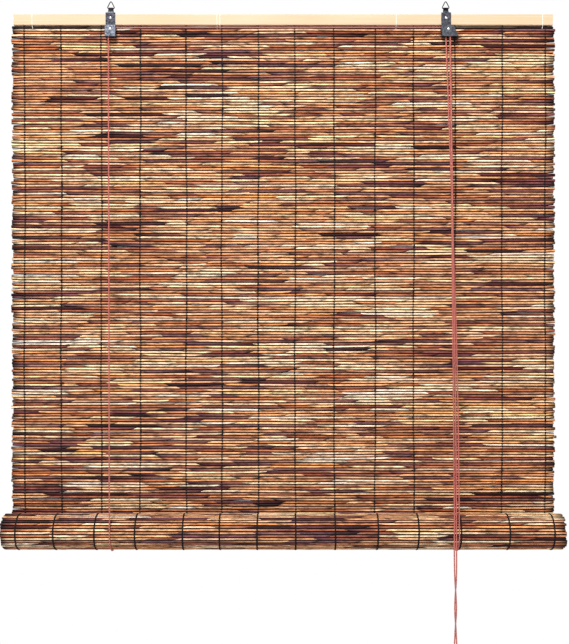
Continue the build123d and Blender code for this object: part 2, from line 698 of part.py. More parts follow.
def tangent_corner(point_y, point_z, side):
    """Y where the tight run from a point to the roll, as a tangent, meets the cord's lowest level."""
    radius = roll_cord_radius()
    across = point_y - ROLL_Y
    up = point_z - ROLL_Z
    turn = atan2(up, across) - side * acos(radius / hypot(across, up))
    touch_y = ROLL_Y + radius * cos(turn)
    touch_z = ROLL_Z + radius * sin(turn)
    share = (ROLL_Z - radius - point_z) / (touch_z - point_z)
    return point_y + (touch_y - point_y) * share


def roll_cord_radius():
    """Radius of the cord's middle line round the roll."""
    return ROLL_RADIUS + CORD_RADIUS + ROLL_CORD_CLEARANCE


def corner_radii(points, tight):
    """One radius for each corner of a route: given for a tight corner, else as large as its runs allow."""
    radii = []
    for index in range(1, len(points) - 1):
        before, here, after = (Vector(*point) for point in points[index - 1 : index + 2])
        arriving = here - before
        leaving = after - here
        half_turn = radians(arriving.get_angle(leaving)) / 2
        shorter = min(arriving.length, leaving.length)
        radii.append(tight.get(index, (1 - FILLET_SPARE) / 2 * shorter / tan(half_turn)))
    return radii


def cord_tube(name, points, tight):
    """A cord's tube along straight runs and tangent arcs; prints its radii, length and volume error."""
    radii = corner_radii(points, tight)
    path = FilletPolyline(*points, radius=radii)
    section = Plane(origin=path @ 0, z_dir=path % 0) * RegularPolygon(CORD_RADIUS, CORD_SIDES)
    tube = sweep(section, path=path)
    error = tube.volume / (section.area * path.length) - 1
    print(name, "length", round(path.length, 1), "volume error", round(error, 5))
    print("  radii", [round(radius, 1) for radius in radii])
    return tube


def anchor(x):
    """The fixed end of a lift cord: its knot's centre above the rear tab."""
    return (x, ANCHOR_Y, REAR_TAB_Z + SHEET / 2 + KNOT_RADIUS)


def round_the_roll(x, rear_point, front_point):
    """The two corners of a lift cord under the roll."""
    level = ROLL_Z - roll_cord_radius()
    rear = (x, tangent_corner(rear_point[1], rear_point[2], 1), level)
    front = (x, tangent_corner(front_point[1], front_point[2], -1), level)
    return [rear, front]


def left_lift_route():
    """From the left anchor down the back, under the roll, up over the left pulley and level to the lock."""
    top_z = AXLE_Z + PULLEY_CORD_RADIUS
    start = anchor(FITTING_LEFT_X)
    pulley_point = (LEFT_AXLE_X - PULLEY_CORD_RADIUS, PULLEY_Y, top_z)
    lock_x = RIGHT_AXLE_X + PULLEY_CORD_RADIUS
    corners = round_the_roll(LEFT_CORD_ROLL_X, start, pulley_point)
    return [start, *corners, pulley_point, (lock_x, FRONT_CORD_Y, top_z), (lock_x, FRONT_CORD_Y, AXLE_Z)]


def right_lift_route():
    """From the right anchor down the back, under the roll, up the front and over the lock's pulley."""
    top_z = AXLE_Z + PULLEY_CORD_RADIUS
    start = anchor(FITTING_RIGHT_X)
    pulley_point = (RIGHT_AXLE_X - PULLEY_CORD_RADIUS, REAR_CORD_Y, top_z)
    corners = round_the_roll(RIGHT_CORD_ROLL_X, start, pulley_point)
    front = corners[1]
    share = (RIGHT_CORD_BEND_Z - top_z) / (front[2] - top_z)
    bend_y = REAR_CORD_Y + (front[1] - REAR_CORD_Y) * share
    over_x = RIGHT_AXLE_X + PULLEY_CORD_RADIUS
    return [
        start,
        *corners,
        (RIGHT_CORD_ROLL_X, bend_y, RIGHT_CORD_BEND_Z),
        pulley_point,
        (over_x, REAR_CORD_Y, top_z),
        (over_x, REAR_CORD_Y, AXLE_Z),
    ]


def lift_cords():
    """The two lift cords, each with the knot of its fixed end."""
    roll_turn = roll_cord_radius() * (1 - ARC_SLACK)
    pulley_turn = PULLEY_CORD_RADIUS * (1 - ARC_SLACK)
    left_tight = {1: roll_turn, 2: roll_turn, 3: pulley_turn, 4: pulley_turn}
    right_tight = {1: roll_turn, 2: roll_turn, 4: pulley_turn, 5: pulley_turn}
    for name, x, route, tight in (
        ("left_lift_cord", FITTING_LEFT_X, left_lift_route(), left_tight),
        ("right_lift_cord", FITTING_RIGHT_X, right_lift_route(), right_tight),
    ):
        knot = Box(2 * KNOT_RADIUS, 2 * KNOT_RADIUS, 2 * KNOT_RADIUS)
        knot = Pos(*anchor(x)) * chamfer(knot.edges(), KNOT_CHAMFER)
        save(name, cord_tube(name, route, tight) + knot)


def pull_cords():
    """The two tails, from the lock's pulley over the roll's front to the coil, twisted below the roll."""
    start_x = RIGHT_AXLE_X + PULLEY_CORD_RADIUS
    exit_z = AXLE_Z - LOCK_EXIT_RUN
    for name, cord_y, points in (
        ("right_pull_cord", REAR_CORD_Y, RIGHT_PULL_POINTS),
        ("left_pull_cord", FRONT_CORD_Y, LEFT_PULL_POINTS),
    ):
        hanging = [(RIGHT_AXLE_X + x, y, z) for x, y, z in points]
        route = [(start_x, cord_y, AXLE_Z), (start_x, cord_y, exit_z), *hanging]
        save(name, cord_tube(name, route, {}))


def coil_centre():
    """Centre of the coil below the pull cords' ends, and the tie's inner radius."""
    tie_inner = max(COIL_HALF_DEPTH, COIL_HALF_HEIGHT) + COIL_TIE_CLEARANCE
    x, y, z = PULL_END
    return (RIGHT_AXLE_X + x, y, z - tie_inner - COIL_TIE_WALL - COIL_RADIUS), tie_inner


def pull_cord_coil():
    """The outer shape of the coil: a many-sided ring about an axis along Y, its corners taken off."""
    (x, y, z), _ = coil_centre()
    outer = RegularPolygon(COIL_RADIUS + COIL_HALF_HEIGHT, COIL_SIDES)
    inner = RegularPolygon(COIL_RADIUS - COIL_HALF_HEIGHT, COIL_SIDES)
    ring = extrude(outer - inner, amount=COIL_HALF_DEPTH, both=True)
    sides = ring.faces().sort_by(Axis.Z)
    ring = chamfer(sides[0].edges() + sides[-1].edges(), COIL_CHAMFER)
    return Pos(x, y, z) * Rot(90, 0, 0) * ring


def coil_tie():
    """The tie round the top of the coil, under the ends of the pull cords."""
    (x, y, z), inner = coil_centre()
    turned = 180 / COIL_TIE_SIDES
    outer = RegularPolygon(inner + COIL_TIE_WALL, COIL_TIE_SIDES, major_radius=False, rotation=turned)
    bore = RegularPolygon(inner, COIL_TIE_SIDES, major_radius=False, rotation=turned)
    band = extrude(outer - bore, amount=COIL_TIE_LENGTH / 2, both=True)
    return Pos(x, y, z + COIL_RADIUS) * Rot(0, 90, 0) * band


def main():
    """Write every node."""
    save("head_rail", head_rail())
    save("reed_mat", reed_mat())
    save("mat_roll", mat_roll())
    save("bottom_rod", bottom_rod())
    for number, x in enumerate(THREAD_PLACES, start=1):
        save(f"warp_thread_{number:02d}", warp_thread(x))
        save(f"roll_thread_{number:02d}", roll_thread(x))
    for number, (place, turns) in enumerate(zip(TIE_PLACES, TIE_TURNS), start=1):
        save(f"rail_tie_{number}", rail_tie(place, turns))
    save("left_cover", left_cover())
    save("lock_cover", lock_cover())
    sides = (
        ("left", FITTING_LEFT_X, LEFT_AXLE_X, left_cover_corners()),
        ("right", FITTING_RIGHT_X, RIGHT_AXLE_X, lock_corners()),
    )
    for side, x, axle_x, corners in sides:
        save(f"{side}_strap", strap(x, axle_x, corners))
        save(f"{side}_ring", hanging_ring(x))
        save(f"{side}_rail_rivet", rivet(x, RAIL_RIVET_Z, LEG_FRONT, -LEG_FRONT))
        save(f"{side}_axle_rivet", rivet(axle_x, AXLE_Z, -LEG_FACE, COVER_FRONT))
        save(f"{side}_pulley", pulley(axle_x))
    save("lock_roller", lock_roller())
    lift_cords()
    pull_cords()
    save("pull_cord_coil", pull_cord_coil())
    save("coil_tie", coil_tie())
    print("roll axis", ROLL_Y, ROLL_Z, "winding radius", NEUTRAL_RADIUS)
    print("roller", roller_place(), "wall", lock_wall())


main()
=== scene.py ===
# %% [markdown]
# # Dressing a reed roller blind
# The blind is a curtain of thin stained reeds, laid side by side and held by black warp threads.
# Its lower part is wound into a roll, two cords lift that roll, and a wooden batten carries it all.
# The construction is already modelled, so this lesson adds only what the eye sees: reeds, threads,
# cords, strings, wood and metal. Every new piece is put where the frame says its solid is.

# %% Load the frame
import math

import bpy
import numpy as np
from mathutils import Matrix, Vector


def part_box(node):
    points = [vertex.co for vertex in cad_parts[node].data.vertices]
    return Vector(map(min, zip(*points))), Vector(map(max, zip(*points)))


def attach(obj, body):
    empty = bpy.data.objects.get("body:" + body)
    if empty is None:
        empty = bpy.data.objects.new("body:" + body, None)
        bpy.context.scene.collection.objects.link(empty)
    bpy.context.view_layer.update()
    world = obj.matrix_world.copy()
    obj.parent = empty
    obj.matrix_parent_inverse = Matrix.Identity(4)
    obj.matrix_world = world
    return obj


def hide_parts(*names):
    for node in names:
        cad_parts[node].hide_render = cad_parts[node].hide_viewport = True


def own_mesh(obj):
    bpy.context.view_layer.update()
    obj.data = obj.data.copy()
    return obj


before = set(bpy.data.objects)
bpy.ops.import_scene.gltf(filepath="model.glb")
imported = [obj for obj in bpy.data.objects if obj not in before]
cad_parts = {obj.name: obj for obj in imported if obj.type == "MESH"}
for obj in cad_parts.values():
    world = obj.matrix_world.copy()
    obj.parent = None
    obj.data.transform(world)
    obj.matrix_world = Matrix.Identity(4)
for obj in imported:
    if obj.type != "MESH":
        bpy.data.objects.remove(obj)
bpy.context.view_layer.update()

# %% [markdown]
# ## Camera
# The photograph looks level at the blind from 1.65 m. At the mat, one of its pixels covers 1.859 mm, and
# its 644 rows are the long side, so the lens follows from that height. The room round the blind is white.

# %% Camera at the photograph's place
PHOTO_HEIGHT_PX = 644
MM_PER_PX = 1.859
CAMERA_DISTANCE = 1.650
CAMERA_PLACE = (0.0023, -CAMERA_DISTANCE, -0.5942)
SENSOR_MM = 36.0

view_height = PHOTO_HEIGHT_PX * MM_PER_PX / 1000
camera_data = bpy.data.cameras.new("camera")
camera_data.sensor_width = SENSOR_MM
camera_data.lens = SENSOR_MM * CAMERA_DISTANCE / view_height
camera_data.clip_end = 50.0
camera = bpy.data.objects.new("camera", camera_data)
camera.location = CAMERA_PLACE
camera.rotation_euler = (math.radians(90), 0, 0)
bpy.context.scene.collection.objects.link(camera)
bpy.context.scene.camera = camera
bpy.context.scene.view_settings.view_transform = "Standard"
print("lens", round(camera_data.lens, 2), "mm")

# %% [markdown]
# ## Helpers for meshes
# Nearly everything here is long and thin: reeds, threads, strings and cords. So one function turns a
# line of centres into rings of points, and another joins many such tubes into one mesh. Working on
# whole arrays keeps ten thousand rings quick.

# %% Tubes as arrays
MM = 0.001
SHARP_EDGE = math.radians(50)


def tube(centres, across, outwards, half_across, half_out, sides):
    """Rings: centre + cos(a) times half_across across + sin(a) times half_out outwards, a from 0 to 2 pi."""
    angle = np.linspace(0, 2 * np.pi, sides, endpoint=False)
    n = len(centres)
    across = np.broadcast_to(across, (n, 3))[:, None]
    outwards = np.broadcast_to(outwards, (n, 3))[:, None]
    wide = np.broadcast_to(half_across, n)[:, None, None] * np.cos(angle)[None, :, None]
    deep = np.broadcast_to(half_out, n)[:, None, None] * np.sin(angle)[None, :, None]
    return np.asarray(centres)[:, None] + across * wide + outwards * deep


def tube_quads(rings, sides, closed):
    """Four corners for each patch between neighbouring rings. A closed tube's last ring meets its first."""
    last = rings if closed else rings - 1
    i, j = np.meshgrid(np.arange(last), np.arange(sides), indexing="ij")
    k, following = (j + 1) % sides, (i + 1) % rings
    corners = (i * sides + j, i * sides + k, following * sides + k, following * sides + j)
    return np.stack(corners, axis=-1).reshape(-1, 4)


def join_tubes(tubes, closed=False):
    """Points, patches and end caps of many tubes, each given as an array of rings."""
    points, quads, caps = [], [], []
    start = 0
    for rings in tubes:
        count, sides = rings.shape[:2]
        points.append(rings.reshape(-1, 3))
        quads.append(tube_quads(count, sides, closed) + start)
        if not closed:
            caps.append((np.arange(sides)[::-1] + start).tolist())
            caps.append((np.arange(sides) + start + (count - 1) * sides).tolist())
        start += count * sides
    return np.concatenate(points), np.concatenate(quads), caps


def new_object(name, material, points, quads, caps=()):
    """A smooth-shaded mesh object with its place in its mesh, its faces outwards, its sharp edges kept.

    The faces look outwards where the sum of a . (b x c) over them, six times the volume, is positive.
    """
    a, b, c, d = (points[quads[:, corner]] for corner in range(4))
    inside = (a * (np.cross(b, c) + np.cross(c, d))).sum()
    way = 1 if inside >= 0 else -1
    mesh = bpy.data.meshes.new(name)
    mesh.from_pydata(points.tolist(), [], quads[:, ::way].tolist() + [cap[::way] for cap in caps])
    mesh.shade_smooth()
    mesh.set_sharp_from_angle(angle=SHARP_EDGE)
    mesh.materials.append(material)
    obj = bpy.data.objects.new(name, mesh)
    bpy.context.scene.collection.objects.link(obj)
    return obj


def add_values(obj, name, domain, values):
    """A number or a colour for each POINT or FACE, as an attribute that a material can read."""
    coloured = np.ndim(values) == 2
    if coloured:
        values = np.column_stack([values, np.ones(len(values))])
    attribute = obj.data.attributes.new(name, "FLOAT_COLOR" if coloured else "FLOAT", domain)
    attribute.data.foreach_set("color" if coloured else "value", np.asarray(values, np.float32).ravel())


def triangles(obj):
    """How many triangles a mesh has."""
    obj.data.calc_loop_triangles()
    return len(obj.data.loop_triangles)


# %% [markdown]
# ## Helpers for materials
# A material is a small graph of nodes. One function adds a node, sets its inputs and links it, and one
# turns the sRGB colours that a picture shows into the linear ones that the shader works with.

# %% Materials from nodes


def linear(code):
    """Linear colour of a hex code: c / 12.92 up to 0.04045, else (c + 0.055) / 1.055 to the power 2.4."""
    channels = [int(code[i : i + 2], 16) / 255 for i in (1, 3, 5)]
    return tuple(c / 12.92 if c <= 0.04045 else ((c + 0.055) / 1.055) ** 2.4 for c in channels)


def rgba(code):
    """The same with an alpha of 1."""
    return (*linear(code), 1.0)


def add_node(tree, kind, inputs=None, **settings):
    """Adds a shader node, sets its properties, and gives each input a value or another node's output."""
    node = tree.nodes.new("ShaderNode" + kind)
    for name, value in settings.items():
        setattr(node, name, value)
    for key, value in (inputs or {}).items():
        if isinstance(value, bpy.types.NodeSocket):
            tree.links.new(value, node.inputs[key])
        else:
            node.inputs[key].default_value = value
    return node


def new_material(name):
    """An empty node material, as (material, tree)."""
    material = bpy.data.materials.new(name)
    material.use_nodes = True
    material.node_tree.nodes.clear()
    return material, material.node_tree


def bumped_surface(tree, height, strength, relief, inputs):
    """Ends a material: its surface, with the inputs given, raised by a height times relief in metres."""
    bump = add_node(tree, "Bump", {"Height": height, "Strength": strength, "Distance": relief})
    shader = add_node(tree, "BsdfPrincipled", {**inputs, "Normal": bump.outputs["Normal"]})
    add_node(tree, "OutputMaterial", {"Surface": shader.outputs["BSDF"]})


def colour_steps(node, steps):
    """Sets a colour ramp's stops: (position, hex code)."""
    ramp = node.color_ramp
    while len(ramp.elements) > 1:
        ramp.elements.remove(ramp.elements[-1])
    ramp.elements[0].position, ramp.elements[0].color = steps[0][0], rgba(steps[0][1])
    for position, code in steps[1:]:
        ramp.elements.new(position).color = rgba(code)
    return node.outputs["Color"]


def stretched(tree, scale):
    """Object coordinates with a scale of their own along each axis, in repeats to a metre."""
    place = add_node(tree, "TexCoord").outputs["Object"]
    return add_node(tree, "Mapping", {"Vector": place, "Scale": scale}).outputs["Vector"]


# %% [markdown]
# ## Cords: the routes
# Each cord is one smooth NURBS line. Its points are those of the solid's route, in metres.
# A spline of order 3 cuts inside its corners, so a pulley or the roll gets a point on each side of every
# turn, like the corners of an octagon laid round it, and a long tight run gets a point near its ends.

# %% Read a cord's line from its spline
CORD_DIAMETER = 0.0025
CORD_STEPS = 14
NEARLY_PARALLEL = 0.3


def cord_line(points):
    """The points down the middle of a cord, as Blender works them out for a NURBS spline of order 3."""
    curve = bpy.data.curves.new("route", "CURVE")
    curve.dimensions = "3D"
    curve.resolution_u = CORD_STEPS
    spline = curve.splines.new("NURBS")
    spline.points.add(len(points) - 1)
    for point, place in zip(spline.points, points):
        point.co = (*place, 1.0)
    spline.order_u = 3
    spline.use_endpoint_u = True
    carrier = bpy.data.objects.new("route", curve)
    mesh = bpy.data.meshes.new_from_object(carrier)
    line = np.array([v.co for v in mesh.vertices], float)
    bpy.data.meshes.remove(mesh)
    bpy.data.objects.remove(carrier)
    bpy.data.curves.remove(curve)
    return line


def line_length(line):
    """Length of a line of points: the sum of its steps."""
    return float(np.linalg.norm(np.diff(line, axis=0), axis=1).sum())


def carried_frames(line):
    """Two unit directions across the line at each point, carried along it without twist."""
    along = np.gradient(line, axis=0)
    along /= np.linalg.norm(along, axis=1)[:, None]
    first = np.cross(along[0], (1.0, 0.0, 0.0))
    if np.linalg.norm(first) < NEARLY_PARALLEL:
        first = np.cross(along[0], (0.0, 0.0, 1.0))
    across = [first / np.linalg.norm(first)]
    for way in along[1:]:
        side = across[-1] - way * (across[-1] @ way)
        across.append(side / np.linalg.norm(side))
    across = np.array(across)
    return across, np.cross(along, across)


# %% The lift cords' routes
LEFT_RING_X, RIGHT_RING_X = -0.3203, 0.3019
ROLL_Y, ROLL_Z = -0.03135, -0.97466
ANCHOR_Y, ANCHOR_Z = 0.0088, -0.0434

LEFT_LIFT_POINTS = (
    (-0.3203, 0.0088, -0.0434),
    (-0.3202, 0.0086, -0.0600),
    (-0.3150, 0.0062, -0.5000),
    (-0.3101, 0.0039, -0.9400),
    (-0.3100, 0.0037, -0.9602),
    (-0.3100, 0.0037, -0.9892),
    (-0.3100, -0.0168, -1.0097),
    (-0.3100, -0.0459, -1.0097),
    (-0.3101, -0.0664, -0.9892),
    (-0.3102, -0.0656, -0.9602),
    (-0.3111, -0.0624, -0.9000),
    (-0.3170, -0.0362, -0.4800),
    (-0.3231, -0.0106, -0.0700),
    (-0.3231, -0.0097, -0.0556),
    (-0.3231, -0.0096, -0.0524),
    (-0.3209, -0.0096, -0.0502),
    (-0.3177, -0.0096, -0.0502),
    (-0.3000, -0.0096, -0.0502),
    (0.0000, -0.0103, -0.0502),
    (0.2900, -0.01095, -0.0502),
    (0.3029, -0.01095, -0.0502),
    (0.3061, -0.01095, -0.0502),
    (0.3083, -0.01095, -0.0524),
    (0.3083, -0.01095, -0.0540),
)
RIGHT_LIFT_POINTS = (
    (0.3019, 0.0088, -0.0434),
    (0.3020, 0.0086, -0.0600),
    (0.3080, 0.0062, -0.5000),
    (0.3144, 0.0039, -0.9400),
    (0.3145, 0.0037, -0.9602),
    (0.3145, 0.0037, -0.9892),
    (0.3145, -0.0168, -1.0097),
    (0.3145, -0.0459, -1.0097),
    (0.3145, -0.0664, -0.9892),
    (0.3145, -0.0656, -0.9602),
    (0.3145, -0.0624, -0.9000),
    (0.3145, -0.0497, -0.7000),
    (0.3105, -0.0354, -0.4700),
    (0.3008, -0.0092, -0.0700),
    (0.3007, -0.0083, -0.0556),
    (0.3007, -0.00825, -0.0524),
    (0.3029, -0.00825, -0.0502),
    (0.3061, -0.00825, -0.0502),
    (0.3083, -0.00825, -0.0524),
    (0.3083, -0.00825, -0.0540),
)
lift_lines = {"left": cord_line(LEFT_LIFT_POINTS), "right": cord_line(RIGHT_LIFT_POINTS)}
for side, line in lift_lines.items():
    print(side, "lift cord", round(line_length(line), 3), "m")

# %% [markdown]
# The free ends of the same two cords come out of the lock on the right, lean on the roll's front and twist
# round each other below it. The photograph cuts them off, so the rest of each is wound into one neat coil.
# A coil's turns are points of the cord's own spline: a circle whose radius shrinks by one cord width each
# turn, then a step sideways into the next layer, and out again.

# %% The pull cords' routes and their coil
COIL_CENTRE = (0.3075, -0.067, -1.2115)
COIL_RADIUS = 0.014
COIL_PITCH = 0.0025
COIL_STEPS_A_TURN = 16
COIL_TURNS_INWARDS = 3.0
COIL_TURNS_ACROSS = 0.25
COIL_TURNS_OUTWARDS = 2.9

RIGHT_PULL_POINTS = (
    (0.3083, -0.00825, -0.0540),
    (0.3083, -0.00825, -0.0660),
    (0.3081, -0.0112, -0.1050),
    (0.3076, -0.0276, -0.3000),
    (0.3069, -0.0338, -0.3900),
    (0.3064, -0.0496, -0.6600),
    (0.3057, -0.0665, -0.9450),
    (0.3050, -0.0670, -0.9850),
    (0.3056, -0.0670, -1.0470),
    (0.3075, -0.0689, -1.0770),
    (0.3094, -0.0670, -1.1070),
    (0.3075, -0.0651, -1.1370),
    (0.3056, -0.0670, -1.1670),
    (0.3050, -0.0668, -1.1810),
    (0.3003, -0.0660, -1.1935),
)
LEFT_PULL_POINTS = (
    (0.3083, -0.01095, -0.0540),
    (0.3083, -0.01095, -0.0660),
    (0.3085, -0.0142, -0.1100),
    (0.3080, -0.0328, -0.3300),
    (0.3076, -0.0385, -0.4200),
    (0.3092, -0.0506, -0.6400),
    (0.3094, -0.0599, -0.8060),
    (0.3089, -0.0666, -0.9450),
    (0.3090, -0.0670, -0.9850),
    (0.3094, -0.0670, -1.0470),
    (0.3075, -0.0651, -1.0770),
    (0.3056, -0.0670, -1.1070),
    (0.3075, -0.0689, -1.1370),
    (0.3094, -0.0670, -1.1670),
    (0.3100, -0.0672, -1.1810),
    (0.3147, -0.0680, -1.1935),
)


def coil_points(way, layer):
    """Points of one cord's turns. way is -1 down the left side first, 1 down the right; layer its side in y.

    The radius falls by a pitch a turn, holds while y moves out by a pitch, and grows by a pitch a turn.
    """
    total = COIL_TURNS_INWARDS + COIL_TURNS_ACROSS + COIL_TURNS_OUTWARDS
    turns = np.arange(0, total, 1 / COIL_STEPS_A_TURN)
    inwards = np.minimum(turns, COIL_TURNS_INWARDS)
    outwards = np.maximum(turns - COIL_TURNS_INWARDS - COIL_TURNS_ACROSS, 0)
    moved = np.clip((turns - COIL_TURNS_INWARDS) / COIL_TURNS_ACROSS, 0, 1)
    cut = math.cos(math.pi / COIL_STEPS_A_TURN)
    radius = (COIL_RADIUS + COIL_PITCH * (COIL_TURNS_INWARDS / 2 - inwards + outwards)) / cut
    angle = math.pi / 2 + way * (-math.pi / 4 - 2 * math.pi * turns)
    x, y, z = COIL_CENTRE
    across = y + layer * COIL_PITCH * (0.5 + moved)
    return np.stack([x + radius * np.cos(angle), across, z + radius * np.sin(angle)], axis=1)


pull_lines = {
    "right": cord_line([*RIGHT_PULL_POINTS, *coil_points(-1, 1)]),
    "left": cord_line([*LEFT_PULL_POINTS, *coil_points(1, -1)]),
}
for side, line in pull_lines.items():
    print(side, "pull cord", round(line_length(line), 3), "m, lowest", round(float(line[:, 2].min()), 4))

# %% [markdown]
# ## Cord material
# The cord is braided from glossy red-brown yarn, 2.5 mm thick. Two families of diagonal strands cross, so
# two waves that run round the cord in opposite ways make the plait, as a bump and in colour: painted shade
# between strands, a painted highlight on their crests, the yarn's own red in between.

# %% Braided cord
BRAID_PITCH = 0.0048
STRANDS_ROUND = 2.0


def braided_cord():
    """Braided polyester: soft sheen, fine crossing strands, painted shade between them and a painted
    highlight on their crests.
    """
    material, tree = new_material("braided_red_brown_cord")
    uv = add_node(tree, "UVMap", uv_map="cord").outputs["UV"]
    split = add_node(tree, "SeparateXYZ", {"Vector": uv})
    along, around = split.outputs["X"], split.outputs["Y"]
    waves = {}
    for number, strands in enumerate((STRANDS_ROUND, -STRANDS_ROUND)):
        turned = add_node(tree, "Math", {0: around, 1: strands, 2: along}, operation="MULTIPLY_ADD")
        phase = add_node(tree, "Math", {0: turned.outputs[0], 1: 2 * math.pi}, operation="MULTIPLY")
        wave = add_node(tree, "Math", {0: phase.outputs[0]}, operation="SINE")
        waves[number] = add_node(tree, "Math", {0: wave.outputs[0]}, operation="ABSOLUTE").outputs[0]
    height = add_node(tree, "Math", waves, operation="MINIMUM").outputs[0]
    ramp = add_node(tree, "ValToRGB", {"Fac": height})
    # Red is the yarn's own colour; the near black is painted shade between strands, the pale pink a painted
    # highlight on their crests.
    colour = colour_steps(ramp, ((0.0, "#380e10"), (0.35, "#932f2b"), (0.6, "#cc5c4e"), (1.0, "#f2b8aa")))
    looks = {"Base Color": colour, "Roughness": 0.6, "Specular IOR Level": 0.3}
    bumped_surface(tree, height, 0.5, 0.3 * MM, looks)
    return material


cord_material = braided_cord()


def corner_points(obj):
    """The number of the point at each face corner."""
    numbers = np.zeros(len(obj.data.loops), int)
    obj.data.loops.foreach_get("vertex_index", numbers)
    return numbers


def write_uv(obj, u, v):
    """The UV map of a cord: for each face corner, braid repeats along it in u and turns round it in v."""
    layer = obj.data.uv_layers.new(name="cord")
    layer.data.foreach_set("uv", np.stack([u, v], axis=1).astype(np.float32).ravel())


def cord_tube(name, lines, material, diameter=CORD_DIAMETER, sides=10):
    """A mesh tube round each line. At its seam, the last patch of a ring goes on to a whole turn."""
    tubes, along = [], []
    for line in lines:
        across, outwards = carried_frames(line)
        tubes.append(tube(line, across, outwards, diameter / 2, diameter / 2, sides))
        steps = np.linalg.norm(np.diff(line, axis=0), axis=1)
        along.append(np.repeat(np.concatenate([[0], np.cumsum(steps)]), sides))
    points, quads, caps = join_tubes(tubes)
    obj = new_object(name, material, points, quads, caps)
    point = corner_points(obj)
    around = (point % sides) / sides
    at_seam = np.repeat(np.arange(len(quads)) % sides == sides - 1, 4)
    around[: len(at_seam)] += at_seam & (around[: len(at_seam)] == 0)
    write_uv(obj, np.concatenate(along)[point] / BRAID_PITCH, around)
    return obj


# %% [markdown]
# ## Cords that rise with the roll
# When the blind is drawn up, the long runs grow shorter, but what lies on a pulley or round the roll keeps
# its shape. So each lift cord is cut where it leaves the pulley and the roll: the top and the runs stay with
# the rail, the runs on a mesh of their own, and the turn under the roll rides with the bottom rod.

# %% Lift cords in three parts
PULLEY_FOOT_Z = -0.066


def cut_at_levels(line, levels):
    """The line with a point added wherever it passes a level."""
    points = [line[0]]
    for before, after in zip(line, line[1:]):
        crossed = [level for level in levels if (before[2] - level) * (after[2] - level) < 0]
        for level in sorted(crossed, key=lambda z: abs(z - before[2])):
            share = (level - before[2]) / (after[2] - before[2])
            points.append(before + (after - before) * share)
        points.append(after)
    return np.array(points)


def stretches(line, inside):
    """The unbroken stretches of a line whose steps' middles satisfy inside(z)."""
    found, current = [], [line[0]]
    for before, after in zip(line, line[1:]):
        if inside((before[2] + after[2]) / 2):
            current.append(after)
        else:
            found.append(current)
            current = [after]
    return [np.array(points) for points in (*found, current) if len(points) > 1]


for side, line in lift_lines.items():
    whole = cut_at_levels(line, (PULLEY_FOOT_Z, ROLL_Z))
    top = cord_tube(f"{side}_lift_cord_top", stretches(whole, lambda z: z > PULLEY_FOOT_Z), cord_material)
    runs = cord_tube(
        f"{side}_lift_cord_runs", stretches(whole, lambda z: ROLL_Z < z < PULLEY_FOOT_Z), cord_material
    )
    turn = cord_tube(f"{side}_lift_cord_turn", stretches(whole, lambda z: z < ROLL_Z), cord_material)
    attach(top, "root")
    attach(runs, "root")
    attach(turn, "rod")
    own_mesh(runs)
    for piece in (top, runs, turn):
        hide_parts(f"{side}_lift_cord")
    print(side, "lift cord:", triangles(top), triangles(runs), triangles(turn), "triangles")

# %% [markdown]
# ## Knots
# A cord that must not slip through its hole ends in an overhand knot. Pulled tight, that knot is a trefoil:
# a line that winds twice round while it passes three times through the middle. It is the same shape for the
# lift cords' anchors, the free ends and the strings' knots, at other sizes.

# %% Overhand knots
KNOT_STEPS = 60
KNOT_SIDES = 8
KNOT_SIZE = 0.85 * MM
KNOT_THICKNESS = 0.8 * CORD_DIAMETER
BRAID_REPEATS_A_RING = 0.2


def along_loop(line):
    """Unit directions along a closed line: from the point before each point to the one after."""
    along = np.roll(line, -1, axis=0) - np.roll(line, 1, axis=0)
    return along / np.linalg.norm(along, axis=1)[:, None]


def knot_tube(centre, size, thickness, flat=1.0):
    """Rings round a trefoil: x = sin t + 2 sin 2t, z = cos t - 2 cos 2t, y = -flat sin 3t, times size."""
    t = np.linspace(0, 2 * np.pi, KNOT_STEPS, endpoint=False)
    x, z = np.sin(t) + 2 * np.sin(2 * t), np.cos(t) - 2 * np.cos(2 * t)
    line = np.array(centre) + np.stack([x, -np.sin(3 * t) * flat, z], axis=1) * size
    along = along_loop(line)
    across = np.cross(along, (0.0, 1.0, 0.0))
    across /= np.linalg.norm(across, axis=1)[:, None]
    return tube(line, across, np.cross(along, across), thickness / 2, thickness / 2, KNOT_SIDES)


def cord_knot(name, centre):
    """A cord's knot as an object, with the cord's UV map so that its plait matches."""
    rings = knot_tube(centre, KNOT_SIZE, KNOT_THICKNESS)
    obj = new_object(name, cord_material, *join_tubes([rings], closed=True))
    point = corner_points(obj)
    write_uv(obj, point // KNOT_SIDES * BRAID_REPEATS_A_RING, point % KNOT_SIDES / KNOT_SIDES)
    return obj


for side, x in (("left", LEFT_RING_X), ("right", RIGHT_RING_X)):
    anchor_knot = cord_knot(f"{side}_anchor_knot", (x, ANCHOR_Y, ANCHOR_Z))
    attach(anchor_knot, "root")

# %% Pull cords in two parts, with their knots
ROLL_FRONT_Z = -0.945
for side, line in pull_lines.items():
    whole = cut_at_levels(line, (ROLL_FRONT_Z,))
    run = stretches(whole, lambda z: z > ROLL_FRONT_Z)[0]
    tail = stretches(whole, lambda z: z < ROLL_FRONT_Z)[0]
    upper = cord_tube(f"{side}_pull_cord_run", [run], cord_material)
    lower = cord_tube(f"{side}_pull_cord_tail", [tail], cord_material)
    end_knot = cord_knot(f"{side}_end_knot", tail[-1])
    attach(upper, "root")
    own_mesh(upper)
    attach(lower, "rod")
    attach(end_knot, "rod")
    for piece in (upper, lower):
        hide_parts(f"{side}_pull_cord")
    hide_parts("pull_cord_coil")
    print(side, "pull cord:", round(line_length(run) + line_length(tail), 3), "m in all")

# %% [markdown]
# ## Reeds
# A reed is a thin hollow stem about 5 mm across, cut in short lengths. In each row the lengths follow one
# another, and where two meet, their thin ends pass beside each other, one a little higher and further back.
# A reed is never quite straight and swells at its nodes. Each is a tube of rings whose centres wander. One
# function makes the reeds of the hanging rows and of the roll: it needs a row's place and two directions.

